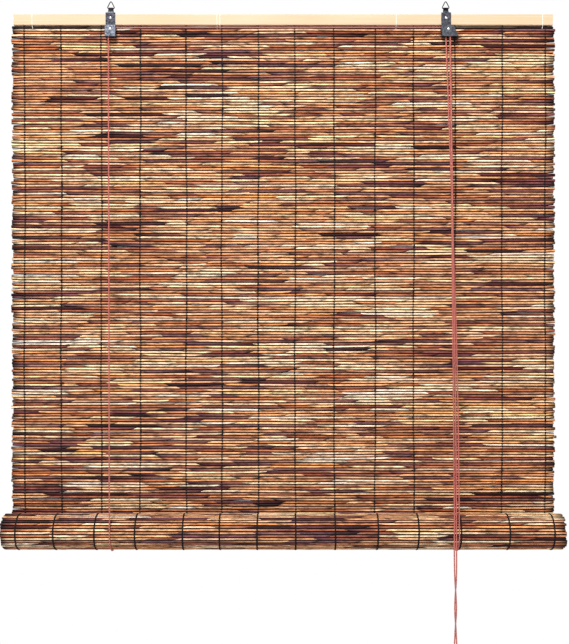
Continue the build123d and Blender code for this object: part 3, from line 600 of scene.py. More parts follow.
# %% Reed sizes
REED_PITCH = 5.07 * MM
REED_HALF_HEIGHT = 2.5 * MM
REED_HALF_DEPTH = 2.15 * MM
REED_SIZE, REED_SIZE_SPREAD, REED_SIZE_LIMITS = 1.09, 0.04, (1.04, 1.17)
REED_SIDES = 8
RING_SPACING = 0.16
FIRST_REED_Z = -46.85 * MM
HANGING_REEDS = 183
MAT_HALF_WIDTH = 0.502
REED_LENGTHS = (0.036, 0.158)
SHORTEST_FIRST_CUT = 0.05
MOST_NODES = 5
NODE_SPACING, NODE_LEAD, NODE_MARGIN = (0.2, 0.5), 0.1, 20 * MM
NODE_REACH, NODE_HALF_LENGTH, NODE_SWELL = 2.2 * MM, 1.5 * MM, 0.09
END_OVERLAP, END_SHIFT, END_TAPER = 0.009, 0.8 * MM, 0.24
TIP_LENGTH, TIP_TAPER = 1.8 * MM, 0.88
WANDER_UP, WANDER_OUT = 0.16 * MM, 0.14 * MM
WANDER_WAVES = (12, 30)
ANY_PHASE = (0, 6.28)


def cut_row(rng, left, right):
    """One row's reeds as (start, end, shift at start, shift at end), their ends passing each other."""
    cuts = [left + rng.uniform(SHORTEST_FIRST_CUT, REED_LENGTHS[1])]
    while cuts[-1] < right - REED_LENGTHS[1]:
        cuts.append(cuts[-1] + rng.uniform(*REED_LENGTHS))
    reeds = []
    start, start_shift = left, 0
    for cut in cuts:
        shift = rng.choice((-1, 1))
        reeds.append((start, cut + END_OVERLAP, start_shift, shift))
        start, start_shift = cut - END_OVERLAP, -shift
    reeds.append((start, right, start_shift, 0))
    return reeds


def near_end(distance):
    """How much of the end's taper a place has: 1 at the tip, smoothly 0 where the next reed's tip begins."""
    inside = np.clip(distance / (2 * END_OVERLAP), 0, 1)
    return 1 - inside * inside * (3 - 2 * inside)


def reed_sizes(rng, x, nodes, taper):
    """A reed's thickness at each ring: its own size, a tenth more at a node, less towards tapered ends."""
    size = np.full(len(x), np.clip(REED_SIZE + REED_SIZE_SPREAD * rng.normal(), *REED_SIZE_LIMITS))
    for node in nodes:
        size += NODE_SWELL * np.exp(-(((x - node) / NODE_HALF_LENGTH) ** 2))
    size *= 1 - END_TAPER * taper
    size[[0, -1]] *= TIP_TAPER
    return size


def reed_rings(rng, reed, place, across, outwards, bend):
    """One reed's rings, and how far each lies along it.

    Its centre wanders as two sines, its tapered ends move aside, and bend(x) lifts it.
    """
    start, end, start_shift, end_shift = reed
    nodes = start + np.cumsum(rng.uniform(*NODE_SPACING, size=MOST_NODES)) - NODE_LEAD
    nodes = nodes[(nodes > start + NODE_MARGIN) & (nodes < end - NODE_MARGIN)]
    even = np.linspace(start, end, int((end - start) / RING_SPACING) + 2)
    near = (nodes[:, None] + np.array([-1, 0, 1]) * NODE_REACH).ravel()
    tips = (start + TIP_LENGTH, start + 2 * END_OVERLAP, end - 2 * END_OVERLAP, end - TIP_LENGTH)
    x = np.unique(np.concatenate([even, near, tips]))
    at_start, at_end = near_end(x - start), near_end(end - x)
    size = reed_sizes(rng, x, nodes, at_start * abs(start_shift) + at_end * abs(end_shift))
    shift = END_SHIFT * (at_start * start_shift + at_end * end_shift)
    phase, wave = rng.uniform(*ANY_PHASE, 2), rng.uniform(*WANDER_WAVES, 2)
    up = WANDER_UP * np.sin(wave[0] * x + phase[0]) + bend(x) + shift
    out = WANDER_OUT * np.sin(wave[1] * x + phase[1]) + np.minimum(shift, 0)
    centres = np.stack([x, np.full(len(x), place[1]), np.full(len(x), place[2])], axis=1)
    centres += up[:, None] * np.array(across) + out[:, None] * np.array(outwards)
    rings = tube(centres, across, outwards, REED_HALF_HEIGHT * size, REED_HALF_DEPTH * size, REED_SIDES)
    return rings, (x - start) / (end - start)


# %% Reed colours: nearly black through red and purple browns and tans to straw
REED_STAINS = (
    "#2e0f10", "#4a1f1f", "#622f33", "#7e4b4f", "#885249", "#9b563f", "#b56f4e",
    "#ca855b", "#da986b", "#e9a873", "#f7bc8d", "#ffcc9f", "#ffd6a2", "#ffddb8",
)
# The valley colour is painted shade where each reed meets the next; the cut end colour is the reed's own.
VALLEY_PAINTED_SHADE, CUT_END = "#260b06", "#3a2415"
STAIN_MEAN, STAIN_SPREAD, TONE_SPREAD = 0.68, 0.24, 0.08
TONE_ROWS, TONE_WIDTH, TONE_MARGIN = 5, 0.085, 0.02
DARK_END_SHARE, DARK_END_DROP, DARK_END_REACH, DARK_END_POWER = 0.7, (0.1, 0.6), (0.2, 0.8), 1.5
HUE_SPREAD = np.array([0.02, -0.03, -0.14])
# Painted shade at the tips: the shadow in and beside a reed's open end.
SHADED_TIP_SHARE, TIP_PAINTED_SHADE = 0.6, 0.2
DARKEST, LIGHTEST = 0.003, 0.95
stains = np.array([linear(code) for code in REED_STAINS])


def tone_field(rng, rows, half_width):
    """A coarse grid of random lightness, five rows by 85 mm a cell, read between its points."""
    width = 2 * half_width + TONE_MARGIN
    grid = rng.normal(size=(rows // TONE_ROWS + 2, int(width / TONE_WIDTH) + 2))

    def tone(row, x):
        u, v = row / TONE_ROWS, (x + width / 2) / TONE_WIDTH
        i, j = int(u), int(v)
        a, b = u - i, v - j
        top = grid[i, j] * (1 - b) + grid[i, j + 1] * b
        bottom = grid[i + 1, j] * (1 - b) + grid[i + 1, j + 1] * b
        return top * (1 - a) + bottom * a

    return tone


def reed_stain(rng, tone, share):
    """Colours along a reed: a place on the scale of stains, lower towards one end, its tips darkened as
    painted shade.
    """
    place = STAIN_MEAN + TONE_SPREAD * tone + STAIN_SPREAD * rng.normal()
    drop = rng.uniform(*DARK_END_DROP) * (rng.random() < DARK_END_SHARE)
    reach = rng.uniform(*DARK_END_REACH)
    along = share if rng.random() < 0.5 else 1 - share
    place = place - drop * np.clip(1 - along / reach, 0, 1) ** DARK_END_POWER
    steps = np.clip(place, 0, 1) * (len(stains) - 1)
    low = np.minimum(steps.astype(int), len(stains) - 2)
    colour = stains[low] + (stains[low + 1] - stains[low]) * (steps - low)[:, None]
    colour = colour * (1 + HUE_SPREAD * rng.normal())
    # Painted shade: the last two rings at an end go dark, for the shadow in and beside the open end.
    for tip_shaded, rings in zip(rng.random(2) < SHADED_TIP_SHARE, (slice(2), slice(-2, None))):
        if tip_shaded:
            colour[rings] *= TIP_PAINTED_SHADE
    return np.clip(colour, DARKEST, LIGHTEST)


# %% Reed material
def stained_reed():
    """Smoked reed dyed with stain: a hard dull skin, fibres lengthwise, and painted shade, near black, in
    the valleys between reeds.
    """
    material, tree = new_material("stained_reed")
    colour = add_node(tree, "Attribute", attribute_name="stain").outputs["Color"]
    groove = add_node(tree, "Attribute", attribute_name="groove").outputs["Fac"]
    cut_end = add_node(tree, "Attribute", attribute_name="cut_end").outputs["Fac"]
    # A blotch is about 18 mm by 4 mm, a fibre 17 mm by 0.4 mm
    patches, hairs = stretched(tree, (56.0, 240.0, 240.0)), stretched(tree, (60.0, 2600.0, 2600.0))
    blotches = add_node(tree, "TexNoise", {"Vector": patches, "Scale": 1.0, "Detail": 4.0, "Roughness": 0.7})
    fibres = add_node(tree, "TexNoise", {"Vector": hairs, "Scale": 1.0, "Detail": 2.0}).outputs["Fac"]
    shade = add_node(tree, "MapRange", {"Value": blotches.outputs["Fac"], 1: 0.3, 2: 0.7, 3: 0.26, 4: 1.62})
    grain = add_node(tree, "MapRange", {"Value": fibres, 1: 0.3, 2: 0.7, 3: 0.88, 4: 1.08})
    light = add_node(tree, "Math", {0: shade.outputs[0], 1: grain.outputs[0]}, operation="MULTIPLY")
    # Painted shade: towards the top and bottom of each reed, where it meets the next, the colour runs to
    # near black.
    valley = add_node(tree, "MapRange", {"Value": groove, 1: 0.2, 2: 0.74}, interpolation_type="SMOOTHSTEP")
    valley_shade_mix = {0: valley.outputs[0], 6: (1, 1, 1, 1), 7: rgba(VALLEY_PAINTED_SHADE)}
    run = add_node(tree, "Mix", valley_shade_mix, data_type="RGBA")
    stain_and_valley_shade = add_node(tree, "VectorMath", {0: colour, 1: run.outputs[2]}, operation="MULTIPLY")
    mottled = add_node(
        tree, "VectorMath", {0: stain_and_valley_shade.outputs[0], "Scale": light.outputs[0]}, operation="SCALE"
    )
    ends = {0: cut_end, 6: mottled.outputs["Vector"], 7: rgba(CUT_END)}
    base = add_node(tree, "Mix", ends, data_type="RGBA")
    looks = {"Base Color": base.outputs[2], "Roughness": 0.55, "Specular IOR Level": 0.12}
    bumped_surface(tree, fibres, 0.2, 0.2 * MM, looks)
    return material


reed_material = stained_reed()


def reeds_object(name, reeds):
    """Many reeds as one mesh: each ring's stain, each point's valley mask = |cos| of its angle for the
    painted shade between reeds, the cut ends.
    """
    points, quads, caps = join_tubes([rings for rings, _ in reeds])
    obj = new_object(name, reed_material, points, quads, caps)
    colours = np.concatenate([colours for _, colours in reeds])
    add_values(obj, "stain", "POINT", np.repeat(colours, REED_SIDES, axis=0))
    groove = np.abs(np.cos(np.linspace(0, 2 * np.pi, REED_SIDES, endpoint=False)))
    add_values(obj, "groove", "POINT", np.tile(groove, len(colours)))
    add_values(obj, "cut_end", "FACE", np.concatenate([np.zeros(len(quads)), np.ones(len(caps))]))
    return obj


# %% [markdown]
# ## The hanging mat
# The rows lie one reed pitch apart and drift up and down together by less than a millimetre, as they do on a
# woven blind. Here and there a pair of reeds parts in a lens of light, and beyond the last thread on each
# side the free ends splay. When the blind is drawn up, the roll takes up the hanging mat; here the mat stays
# with the rail, on a mesh of its own.

# %% Hanging reeds
LENS_PLACES = ((-0.060, 61), (0.415, 148), (-0.372, 96), (0.128, 27), (0.205, 117), (-0.222, 165))
LENS_HALF_LENGTH = 0.018
LENS_HALF_HEIGHT = 0.55 * MM
EDGE_THREADS = (-0.480, 0.486)
EDGE_SPLAY, SPLAY_LENGTH, MOST_SPLAY = 0.6 * MM, 0.02, 1.2
HANGING_END_MM, ROLLED_END_MM = (-3.5, 1.0), (-2.0, 2.5)
# The first row's colour is cut to a tenth: a painted shadow of the batten.
FIRST_REED_PAINTED_SHADOW = 0.1
DRIFT = ((0.34 * MM, 14.0, 0.31, 0.4), (0.26 * MM, 23.0, -0.47, 2.1), (0.2 * MM, 37.0, 0.73, 4.4))

rng = np.random.default_rng(11)


def row_bend(row, splay_left, splay_right):
    """Lift of a row along its length: slow sines, a cosine bump at a lens, a slope past the last threads."""

    def bend(x):
        lift = splay_left * np.clip((EDGE_THREADS[0] - x) / SPLAY_LENGTH, 0, MOST_SPLAY)
        lift = lift + splay_right * np.clip((x - EDGE_THREADS[1]) / SPLAY_LENGTH, 0, MOST_SPLAY)
        for height, wave, slant, phase in DRIFT:
            lift = lift + height * np.sin(wave * x + slant * row + phase)
        for place, upper in LENS_PLACES:
            if row in (upper, upper + 1):
                reach = np.clip(np.abs(x - place) / LENS_HALF_LENGTH, 0, 1)
                bump = LENS_HALF_HEIGHT * (0.5 + 0.5 * np.cos(np.pi * reach))
                lift = lift + (bump if row == upper else -bump)
        return lift

    return bend


def row_ends(rng, half_width, end_mm):
    """A row's left and right end, each drawn a little short of the edge or past it."""
    left = -half_width + rng.uniform(*end_mm) * MM
    return left, half_width - rng.uniform(*end_mm) * MM


tone = tone_field(rng, HANGING_REEDS, MAT_HALF_WIDTH)
reeds = []
for row in range(HANGING_REEDS):
    place = (0.0, 0.0, FIRST_REED_Z - row * REED_PITCH)
    bend = row_bend(row, *(EDGE_SPLAY * rng.normal(size=2)))
    # Painted shadow: the first row, just under the batten, is darkened to a tenth.
    shade = FIRST_REED_PAINTED_SHADOW if row == 0 else 1.0
    for reed in cut_row(rng, *row_ends(rng, MAT_HALF_WIDTH, HANGING_END_MM)):
        rings, share = reed_rings(rng, reed, place, (0, 0, 1), (0, -1, 0), bend)
        reeds.append((rings, shade * reed_stain(rng, tone(row, (reed[0] + reed[1]) / 2), share)))
hanging = reeds_object("hanging_reeds", reeds)
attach(hanging, "root")
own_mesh(hanging)
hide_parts("reed_mat")
print("hanging mat:", len(reeds), "reeds,", triangles(hanging), "triangles")

# %% [markdown]
# ## The roll
# The mat is wound round the bottom rod, forwards and up, so the roll shows its other face. The spiral is
# half turns of a circle: each is half a mat's thickness tighter than the last, and its centre moves by as
# much, so that they join smoothly. A row's place is found by its distance along that line.

# %% Rolled reeds
NEUTRAL_RADIUS = 31.35 * MM
TURN_STEP = 5.2 * MM
HALF_TURNS = 9
ROLL_HALF_WIDTH = 0.507
OUTER_TURN = math.pi * (2 * NEUTRAL_RADIUS - TURN_STEP / 2)


def spiral(distance):
    """Place, winding direction and outward direction of the wound mat at a distance along it."""
    index, rest = 0, distance
    radius = NEUTRAL_RADIUS
    while rest > math.pi * radius and index < HALF_TURNS - 1:
        rest -= math.pi * radius
        index += 1
        radius = NEUTRAL_RADIUS - index * TURN_STEP / 2
    way = -1 if index % 2 else 1
    centre = ROLL_Y - (index % 2) * TURN_STEP / 2
    c, s = way * math.cos(rest / radius), way * math.sin(rest / radius)
    return (0.0, centre + radius * c, ROLL_Z - radius * s), (0.0, -s, -c), (0.0, c, -s)


spiral_length = math.pi * sum(NEUTRAL_RADIUS - index * TURN_STEP / 2 for index in range(HALF_TURNS))
rolled_rows = int(spiral_length / REED_PITCH)
tone = tone_field(rng, rolled_rows, ROLL_HALF_WIDTH)
reeds = []
for row in range(rolled_rows):
    distance = row * REED_PITCH
    left, right = row_ends(rng, ROLL_HALF_WIDTH, ROLLED_END_MM)
    # Inside the outer turn nobody sees where one reed follows another
    row_reeds = cut_row(rng, left, right) if distance < OUTER_TURN else [(left, right, 0, 0)]
    for reed in row_reeds:
        rings, share = reed_rings(rng, reed, *spiral(distance), np.zeros_like)
        reeds.append((rings, reed_stain(rng, tone(row, (reed[0] + reed[1]) / 2), share)))
rolled = reeds_object("rolled_reeds", reeds)
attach(rolled, "roll")
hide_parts("mat_roll")
print("roll:", rolled_rows, "rows,", len(reeds), "reeds,", triangles(rolled), "triangles")

# %% [markdown]
# ## Warp threads
# Two black strands hold each column of reeds, one in front and one behind. Both are drawn into the valley
# between two reeds, where they sway a little to opposite sides, which gives the beaded line that the eye
# sees. Depth follows a wave with one crest a reed.

# %% Threads on the hanging mat and on the roll
THREAD_PLACES = (
    -0.4800, -0.4120, -0.3375, -0.2655, -0.1800, -0.1140, -0.0465,
    0.0220, 0.0945, 0.1705, 0.2420, 0.3190, 0.4060, 0.4860,
)
SAMPLES_A_REED = 4
THREAD_SIDES = 5
THREAD_HALF_WIDTH, CREST_NARROWING = 2.1 * MM, 0.3
THREAD_HALF_DEPTH = 0.5 * MM
THREAD_CREST, THREAD_VALLEY = 2.75 * MM, 1.5 * MM
STRAND_SWAY = 0.25 * MM
THREAD_DRIFT = ((0.8 * MM, 11), (0.5 * MM, 31))


def black_thread():
    """Twisted polyester thread, nearly black, with a dull sheen and fine hairs in its bump."""
    material, tree = new_material("black_twisted_thread")
    hairs = {"Vector": stretched(tree, (900.0, 900.0, 500.0)), "Detail": 3.0}
    noise = add_node(tree, "TexNoise", hairs).outputs["Fac"]
    ramp = add_node(tree, "ValToRGB", {"Fac": noise})
    colour = colour_steps(ramp, ((0.3, "#080505"), (0.7, "#1a1210")))
    looks = {"Base Color": colour, "Roughness": 0.85, "Specular IOR Level": 0.2}
    bumped_surface(tree, noise, 0.6, 0.3 * MM, looks)
    return material


thread_material = black_thread()


def strand_pair(rng, x, places, outwards, along):
    """Rings of two strands, one in front and one behind, through points on and between the reeds.

    The pair drifts sideways as two slow sines of about a millimetre.
    """
    reeds = np.arange(len(along)) / SAMPLES_A_REED
    crest = np.sqrt(np.abs(np.cos(np.pi * reeds)))
    depth = THREAD_VALLEY + (THREAD_CREST - THREAD_VALLEY) * crest
    beads = THREAD_HALF_WIDTH * (1.0 - CREST_NARROWING * crest)
    phases = rng.uniform(*ANY_PHASE, 2)
    drift = sum(size * np.sin(along * wave + phase) for (size, wave), phase in zip(THREAD_DRIFT, phases))
    tubes = []
    for side in (1, -1):
        centres = places + (side * depth)[:, None] * outwards
        centres[:, 0] = x + drift + STRAND_SWAY * side * np.sin(np.pi * reeds)
        tubes.append(tube(centres, (1.0, 0.0, 0.0), outwards, beads, THREAD_HALF_DEPTH, THREAD_SIDES))
    return tubes


rng = np.random.default_rng(23)
steps = np.arange(-SAMPLES_A_REED // 2, HANGING_REEDS * SAMPLES_A_REED - 1)
hanging_along = steps / SAMPLES_A_REED * REED_PITCH
hanging_places = np.stack([0 * hanging_along, 0 * hanging_along, FIRST_REED_Z - hanging_along], axis=1)
front = np.broadcast_to([0.0, -1.0, 0.0], hanging_places.shape)
outer_rows = int(OUTER_TURN / REED_PITCH)
roll_along = np.arange(0, outer_rows * SAMPLES_A_REED + 1) / SAMPLES_A_REED * REED_PITCH
roll_frames = np.array([spiral(distance) for distance in roll_along])

for number, x in enumerate(THREAD_PLACES, start=1):
    pair = strand_pair(rng, x, hanging_places, front, hanging_along)
    strand = new_object(f"warp_strands_{number:02d}", thread_material, *join_tubes(pair))
    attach(strand, "root")
    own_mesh(strand)
    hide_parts(f"warp_thread_{number:02d}")

    pair = strand_pair(rng, x, roll_frames[:, 0], roll_frames[:, 2], roll_along)
    wound = new_object(f"roll_strands_{number:02d}", thread_material, *join_tubes(pair))
    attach(wound, "roll")
    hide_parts(f"roll_thread_{number:02d}")
print("threads:", triangles(strand), "and", triangles(wound), "triangles each")

# %% [markdown]
# ## Wood and string
# The batten is planed pale softwood: a cream ground with fine lengthwise grain. The bottom rod is plain
# turned wood, seen only at its ends. Four ties of white cotton string bind the mat's first reed to the
# batten.

# %% Woods


def planed_wood(name, light, dark, grain_mm, roughness):
    """Planed wood: grain lines stretched along X, grain_mm apart, and slow changes of tone."""
    material, tree = new_material(name)
    across = 1000 / grain_mm
    fine, broad = stretched(tree, (5.0, across, across)), stretched(tree, (6.0, 30.0, 30.0))
    lines = add_node(tree, "TexNoise", {"Vector": fine, "Scale": 1.0, "Detail": 4.0, "Distortion": 0.4})
    slow = add_node(tree, "TexNoise", {"Vector": broad, "Scale": 1.0})
    parts = {0: 0.4, 2: lines.outputs["Fac"], 3: slow.outputs["Fac"]}
    mixed = add_node(tree, "Mix", parts, data_type="FLOAT")
    ramp = add_node(tree, "ValToRGB", {"Fac": mixed.outputs[0]})
    looks = {"Base Color": colour_steps(ramp, ((0.3, dark), (0.7, light))), "Roughness": roughness}
    bumped_surface(tree, lines.outputs["Fac"], 0.15, 0.3 * MM, looks)
    return material


def dress(node, material):
    """Gives a solid of the frame its material."""
    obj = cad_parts[node]
    obj.data.materials.clear()
    obj.data.materials.append(material)


dress("head_rail", planed_wood("planed_pale_softwood", "#ddc1a3", "#ccab85", 1.6, 0.6))
dress("bottom_rod", planed_wood("turned_bare_wood", "#d9b27c", "#a9763f", 1.2, 0.6))

# %% String ties
TIE_PLACES = ((-0.4655,), (-0.1227, -0.1173), (0.2095,), (0.4810,))
TIE_STEPS_A_SIDE = 8
STRING_SIDES = 8
STRING_HALF_WIDTH = 0.7 * MM
STRING_HALF_DEPTH = 0.42 * MM
STRING_LIFT = 0.5 * MM
TIE_CORNER = 1.2 * MM
RAIL_HALF_DEPTH = 4.5 * MM
RAIL_TOP_Z, RAIL_BOTTOM_Z = -23.5 * MM, -43.5 * MM
TIE_UNDER_Z = FIRST_REED_Z - REED_PITCH / 2
BESIDE_REED, UNDER_REED = 2.7 * MM, 1.2 * MM
TIE_KNOT_BEHIND, TIE_KNOT_Z = 2.0 * MM, -31.0 * MM
TIE_KNOT_SIZE, TIE_KNOT_THICKNESS, TIE_KNOT_FLAT = 0.55 * MM, 1.2 * MM, 0.8


def cotton_string():
    """Two-ply cotton string, off-white and matt, its plies drawn by a slanted wave."""
    material, tree = new_material("twisted_white_cotton")
    plies = {"Vector": stretched(tree, (420.0, 420.0, 420.0)), "Scale": 1.0, "Distortion": 0.6}
    wave = add_node(tree, "TexWave", plies, bands_direction="DIAGONAL").outputs["Fac"]
    ramp = add_node(tree, "ValToRGB", {"Fac": wave})
    looks = {"Base Color": colour_steps(ramp, ((0.0, "#d8d2c2"), (0.6, "#f4f0e6"))), "Roughness": 0.9}
    bumped_surface(tree, wave, 0.5, 0.3 * MM, looks)
    return material


string_material = cotton_string()


def tie_loop(x):
    """Rings of one turn of string: round the batten's section and drawn in under the first reed."""
    side, top = RAIL_HALF_DEPTH + STRING_LIFT, RAIL_TOP_Z + STRING_LIFT
    back = [
        (side - TIE_CORNER, top), (side, top - TIE_CORNER), (side, RAIL_BOTTOM_Z),
        (BESIDE_REED, FIRST_REED_Z), (UNDER_REED, TIE_UNDER_Z),
    ]
    outline = np.array(back + [(-y, z) for y, z in reversed(back)])
    following = np.roll(outline, -1, axis=0)
    share = np.linspace(0, 1, TIE_STEPS_A_SIDE, endpoint=False)[None, :, None]
    line = (outline[:, None] + (following - outline)[:, None] * share).reshape(-1, 2)
    line = np.stack([np.full(len(line), x), line[:, 0], line[:, 1]], axis=1)
    along = along_loop(line)
    outwards = np.cross(along, (1.0, 0.0, 0.0))
    across = -np.cross(along, outwards)
    return tube(line, across, outwards, STRING_HALF_WIDTH, STRING_HALF_DEPTH, STRING_SIDES)


for number, places in enumerate(TIE_PLACES, start=1):
    middle = (sum(places) / len(places), RAIL_HALF_DEPTH + TIE_KNOT_BEHIND, TIE_KNOT_Z)
    loops = [tie_loop(x) for x in places]
    loops.append(knot_tube(middle, TIE_KNOT_SIZE, TIE_KNOT_THICKNESS, TIE_KNOT_FLAT))
    tie = new_object(f"tie_string_{number}", string_material, *join_tubes(loops, closed=True))
    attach(tie, "root")
    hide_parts(f"rail_tie_{number}")
print("ties:", triangles(tie), "triangles each")

# %% The coil's wrapping
WRAP_TURNS = 5
WRAP_STEPS_A_TURN = 24
WRAP_SIDES = 8
WRAP_RADIUS = 6.9 * MM
WRAP_THICKNESS = 1.15 * MM
WRAP_LENGTH = WRAP_TURNS * WRAP_THICKNESS - 1.2 * MM

turns = np.linspace(0, WRAP_TURNS, WRAP_TURNS * WRAP_STEPS_A_TURN)
x, y, z = COIL_CENTRE
wrap_x = x + (turns / WRAP_TURNS - 0.5) * WRAP_LENGTH
wrap_y = y + WRAP_RADIUS * np.cos(2 * np.pi * turns)
wrap_z = z + COIL_RADIUS + WRAP_RADIUS * np.sin(2 * np.pi * turns)
wrap_line = np.stack([wrap_x, wrap_y, wrap_z], axis=1)
wrap = cord_tube("coil_wrapping", [wrap_line], string_material, WRAP_THICKNESS, WRAP_SIDES)
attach(wrap, "rod")
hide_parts("coil_tie")
print("wrapping:", triangles(wrap), "triangles")

# %% [markdown]
# ## Metal
# The fittings are pressed from sheet: dark plated straps and lock, a bright zinc cover on the left, nickel
# rivets and steel wire rings. Sheet forms come from the frame, so only their surfaces are made here. A
# metal's look is its roughness and its clouds: zinc crystals, a patchy plating, oil burnt on in the bend.

# %% Metals
TONGUE_Z = -17.5 * MM
OIL_SHADE = 0.12


def sheet_metal(name, light, dark, roughness, cloud_mm, oiled_above=None):
    """Plated sheet: clouds cloud_mm across in colour and gloss, oil-blackened above a height if given."""
    material, tree = new_material(name)
    place = stretched(tree, 3 * (1000 / cloud_mm,))
    inputs = {"Vector": place, "Scale": 1.0, "Detail": 5.0, "Roughness": 0.65}
    clouds = add_node(tree, "TexNoise", inputs).outputs["Fac"]
    ramp = add_node(tree, "ValToRGB", {"Fac": clouds})
    colour = colour_steps(ramp, ((0.35, dark), (0.65, light)))
    if oiled_above is not None:
        height = add_node(tree, "SeparateXYZ", {"Vector": add_node(tree, "TexCoord").outputs["Object"]})
        edge = {1: oiled_above - 2 * MM, 2: oiled_above + 2 * MM, 3: 1.0, 4: OIL_SHADE}
        oil = add_node(
            tree, "MapRange", {"Value": height.outputs["Z"], **edge}, interpolation_type="SMOOTHSTEP"
        )
        darkened = add_node(tree, "VectorMath", {0: colour, "Scale": oil.outputs[0]}, operation="SCALE")
        colour = darkened.outputs["Vector"]
    gloss = add_node(
        tree, "MapRange", {"Value": clouds, 1: 0.3, 2: 0.7, 3: roughness - 0.08, 4: roughness + 0.1}
    )
    looks = {"Base Color": colour, "Metallic": 1.0, "Roughness": gloss.outputs[0]}
    bumped_surface(tree, clouds, 0.2, 0.3 * MM, looks)
    return material


zinc = sheet_metal("bright_zinc_plate", "#868c98", "#3e434f", 0.34, 2.6)
strap_plate = sheet_metal("dark_plated_steel", "#52525a", "#222226", 0.4, 3.2, oiled_above=TONGUE_Z)
lock_plate = sheet_metal("grey_plated_steel", "#5a5c62", "#2c2e33", 0.4, 3.2)
wire_steel = sheet_metal("blackened_steel_wire", "#20201f", "#070707", 0.4, 1.8)
nickel = sheet_metal("nickel_plate", "#e8e8ea", "#b9b9bf", 0.2, 2.0)
turned_steel = sheet_metal("turned_steel", "#a9abae", "#7d7f83", 0.35, 2.0)
for side in ("left", "right"):
    dress(f"{side}_strap", strap_plate)
    dress(f"{side}_pulley", turned_steel)
dress("left_cover", zinc)
dress("lock_cover", lock_plate)
dress("lock_roller", turned_steel)
print("metals dressed")

# %% [markdown]
# ## Rings and rivets
# A hanging ring is one wire bent to a triangle: three arcs joined by straight runs. For each arc it is
# enough to give its centre and the two directions that its runs face. A rivet is a turned form: a quarter of
# an ellipse for its dome, then its shank, then the foot that was hammered flat behind.

# %% Bent wire rings
WIRE_RADIUS = 0.85 * MM
APEX_Z, BAR_Z = 3.2 * MM, -12.0 * MM
RING_HALF_WIDTH = 7.6 * MM
APEX_BEND, CORNER_BEND = 1.9 * MM, 2.4 * MM
BEND_STEPS = 9
WIRE_SIDES = 12

side_facing = math.atan2(RING_HALF_WIDTH, APEX_Z - BAR_Z)
corner_half_angle = (math.pi / 2 - side_facing) / 2


def ring_arcs(x):
    """Each bend as (centre x, centre z, radius, direction faced at its start, and at its end)."""
    apex = (x, APEX_Z - APEX_BEND / math.sin(side_facing), APEX_BEND, side_facing, math.pi - side_facing)
    reach = RING_HALF_WIDTH - CORNER_BEND / math.tan(corner_half_angle)
    left = (x - reach, BAR_Z + CORNER_BEND, CORNER_BEND, math.pi - side_facing, 1.5 * math.pi)
    right = (x + reach, BAR_Z + CORNER_BEND, CORNER_BEND, 1.5 * math.pi, 2 * math.pi + side_facing)
    return apex, left, right


def wire_ring(x):
    """Rings of points round the closed wire, each at centre + radius times the direction faced."""
    lines, faced = [], []
    for centre_x, centre_z, radius, start, end in ring_arcs(x):
        turn = np.linspace(start, end, BEND_STEPS)
        facing = np.stack([np.cos(turn), 0 * turn, np.sin(turn)], axis=1)
        lines.append(np.array([centre_x, 0.0, centre_z]) + radius * facing)
        faced.append(facing)
    line, facing = np.concatenate(lines), np.concatenate(faced)
    return tube(line, facing, (0.0, 1.0, 0.0), WIRE_RADIUS, WIRE_RADIUS, WIRE_SIDES)


for side, x in (("left", LEFT_RING_X), ("right", RIGHT_RING_X)):
    ring = new_object(f"{side}_wire_ring", wire_steel, *join_tubes([wire_ring(x)], closed=True))
    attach(ring, f"{side}_hanger")
    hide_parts(f"{side}_ring")
print("rings:", triangles(ring), "triangles each")

# %% Domed rivets
DOME_STEPS = 7
SHANK_RADIUS = 1.5 * MM
HEAD_HEIGHT = 1.5 * MM
FOOT_HEIGHT, FOOT_TAPER = 0.9 * MM, 0.7
RIVET_SIDES = 24
POLE_RADIUS = 0.02 * MM


def rivet_rings(low, high):
    """Rings from the dome's pole to the foot: on the dome, y = H (1 - cos a) and r = R sin a."""
    x, z = (low[0] + high[0]) / 2, (low[2] + high[2]) / 2
    head = (high[0] - low[0]) / 2
    around = np.linspace(0, np.pi / 2, DOME_STEPS)
    deep = low[1] + HEAD_HEIGHT * (1 - np.cos(around))
    wide = np.maximum(head * np.sin(around), POLE_RADIUS)
    foot = high[1] - FOOT_HEIGHT
    deep = np.concatenate([deep, [low[1] + HEAD_HEIGHT, foot, foot, high[1] - FOOT_HEIGHT / 3, high[1]]])
    wide = np.concatenate([wide, [SHANK_RADIUS, SHANK_RADIUS, head, head, FOOT_TAPER * head]])
    centres = np.stack([np.full(len(deep), x), deep, np.full(len(deep), z)], axis=1)
    return tube(centres, (1.0, 0.0, 0.0), (0.0, 0.0, 1.0), wide, wide, RIVET_SIDES)


for node in ("left_rail_rivet", "right_rail_rivet", "left_axle_rivet", "right_axle_rivet"):
    rivet = new_object(f"{node}_domed", nickel, *join_tubes([rivet_rings(*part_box(node))]))
    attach(rivet, "root")
    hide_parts(node)
print("rivets:", triangles(rivet), "triangles each")

# %% [markdown]
# ## Floor, backdrop and light
# The photograph has no shadows and a pure white ground. The floor lies well below the blind, and for the
# camera it is nearly white, while the lamps see a plain pale floor. One wide soft lamp above and in front
# lights the blind, so that each reed shines along its upper side, and a weak one lower down lifts the shade.

# %% Floor, world and lamps
FLOOR_Z = -1.6
FLOOR_HALF = 8.0
SHADOW_REACH, WHITE_REACH, WHITE_IN_SHADOW = 0.6, 1.1, 0.55
WORLD_STRENGTH = 0.15


def seen_share(tree, *kinds):
    """1 for the camera's rays and those of the kinds named, 0 for the rays that light things."""
    path = add_node(tree, "LightPath")
    share = path.outputs["Is Camera Ray"]
    for kind in kinds:
        share = add_node(tree, "Math", {0: share, 1: path.outputs[kind]}, operation="MAXIMUM").outputs[0]
    return share


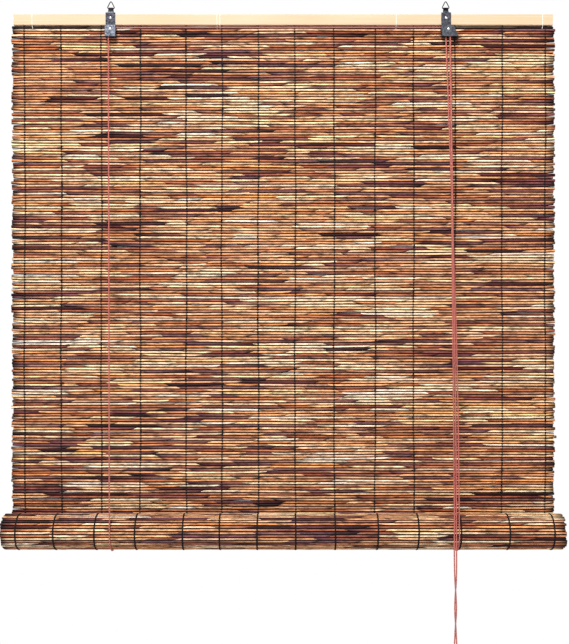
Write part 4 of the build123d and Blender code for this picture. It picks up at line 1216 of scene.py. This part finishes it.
def pale_floor():
    """Matt pale floor. For camera and mirror rays it fades to plain white from 0.6 m off to 1.1 m."""
    material, tree = new_material("pale_floor")
    matt = add_node(tree, "BsdfDiffuse", {"Color": rgba("#f4f4f4")})
    white = add_node(tree, "Emission", {"Color": (1, 1, 1, 1), "Strength": 1.0})
    seen = seen_share(tree, "Is Glossy Ray")
    place = add_node(tree, "TexCoord").outputs["Object"]
    reach = add_node(tree, "VectorMath", {0: place}, operation="LENGTH").outputs["Value"]
    edge = {"Value": reach, 1: SHADOW_REACH, 2: WHITE_REACH, 3: WHITE_IN_SHADOW, 4: 1.0}
    fade = add_node(tree, "MapRange", edge, interpolation_type="SMOOTHSTEP")
    share = add_node(tree, "Math", {0: seen, 1: fade.outputs[0]}, operation="MULTIPLY")
    shaders = {0: share.outputs[0], 1: matt.outputs["BSDF"], 2: white.outputs["Emission"]}
    mixed = add_node(tree, "MixShader", shaders)
    add_node(tree, "OutputMaterial", {"Surface": mixed.outputs["Shader"]})
    return material


corners = np.array([(-1, -1), (1, -1), (1, 1), (-1, 1)]) * FLOOR_HALF
plane = np.column_stack([corners, np.zeros(4)])
floor = new_object("floor", pale_floor(), plane, np.array([[0, 1, 2, 3]]))
floor.location.z = FLOOR_Z

world = bpy.data.worlds.new("white_room")
world.use_nodes = True
world.node_tree.nodes.clear()
sky = world.node_tree
seen = seen_share(sky, "Is Glossy Ray", "Is Transmission Ray")
strength = add_node(sky, "MapRange", {"Value": seen, 3: WORLD_STRENGTH, 4: 1.0}).outputs[0]
ground = add_node(sky, "Background", {"Color": (1, 1, 1, 1), "Strength": strength})
add_node(sky, "OutputWorld", {"Surface": ground.outputs["Background"]})
bpy.context.scene.world = world


def soft_lamp(name, place, aim, size, power):
    """A square area lamp at a place, turned towards a point, with its power in watts."""
    data = bpy.data.lights.new(name, "AREA")
    data.size = size
    data.energy = power
    lamp = bpy.data.objects.new(name, data)
    way = np.array(aim) - np.array(place)
    lamp.location = place
    flat = math.hypot(way[0], way[1])
    lamp.rotation_euler = (math.atan2(flat, -way[2]), 0, math.atan2(way[1], way[0]) - math.pi / 2)
    bpy.context.scene.collection.objects.link(lamp)


soft_lamp("key_lamp", place=(-0.8, -3.2, 3.4), aim=(0, 0, -0.6), size=1.3, power=375)
soft_lamp("fill_lamp", place=(1.3, -3.0, 0.3), aim=(0, 0, -0.5), size=1.6, power=12)
print("lamps placed")
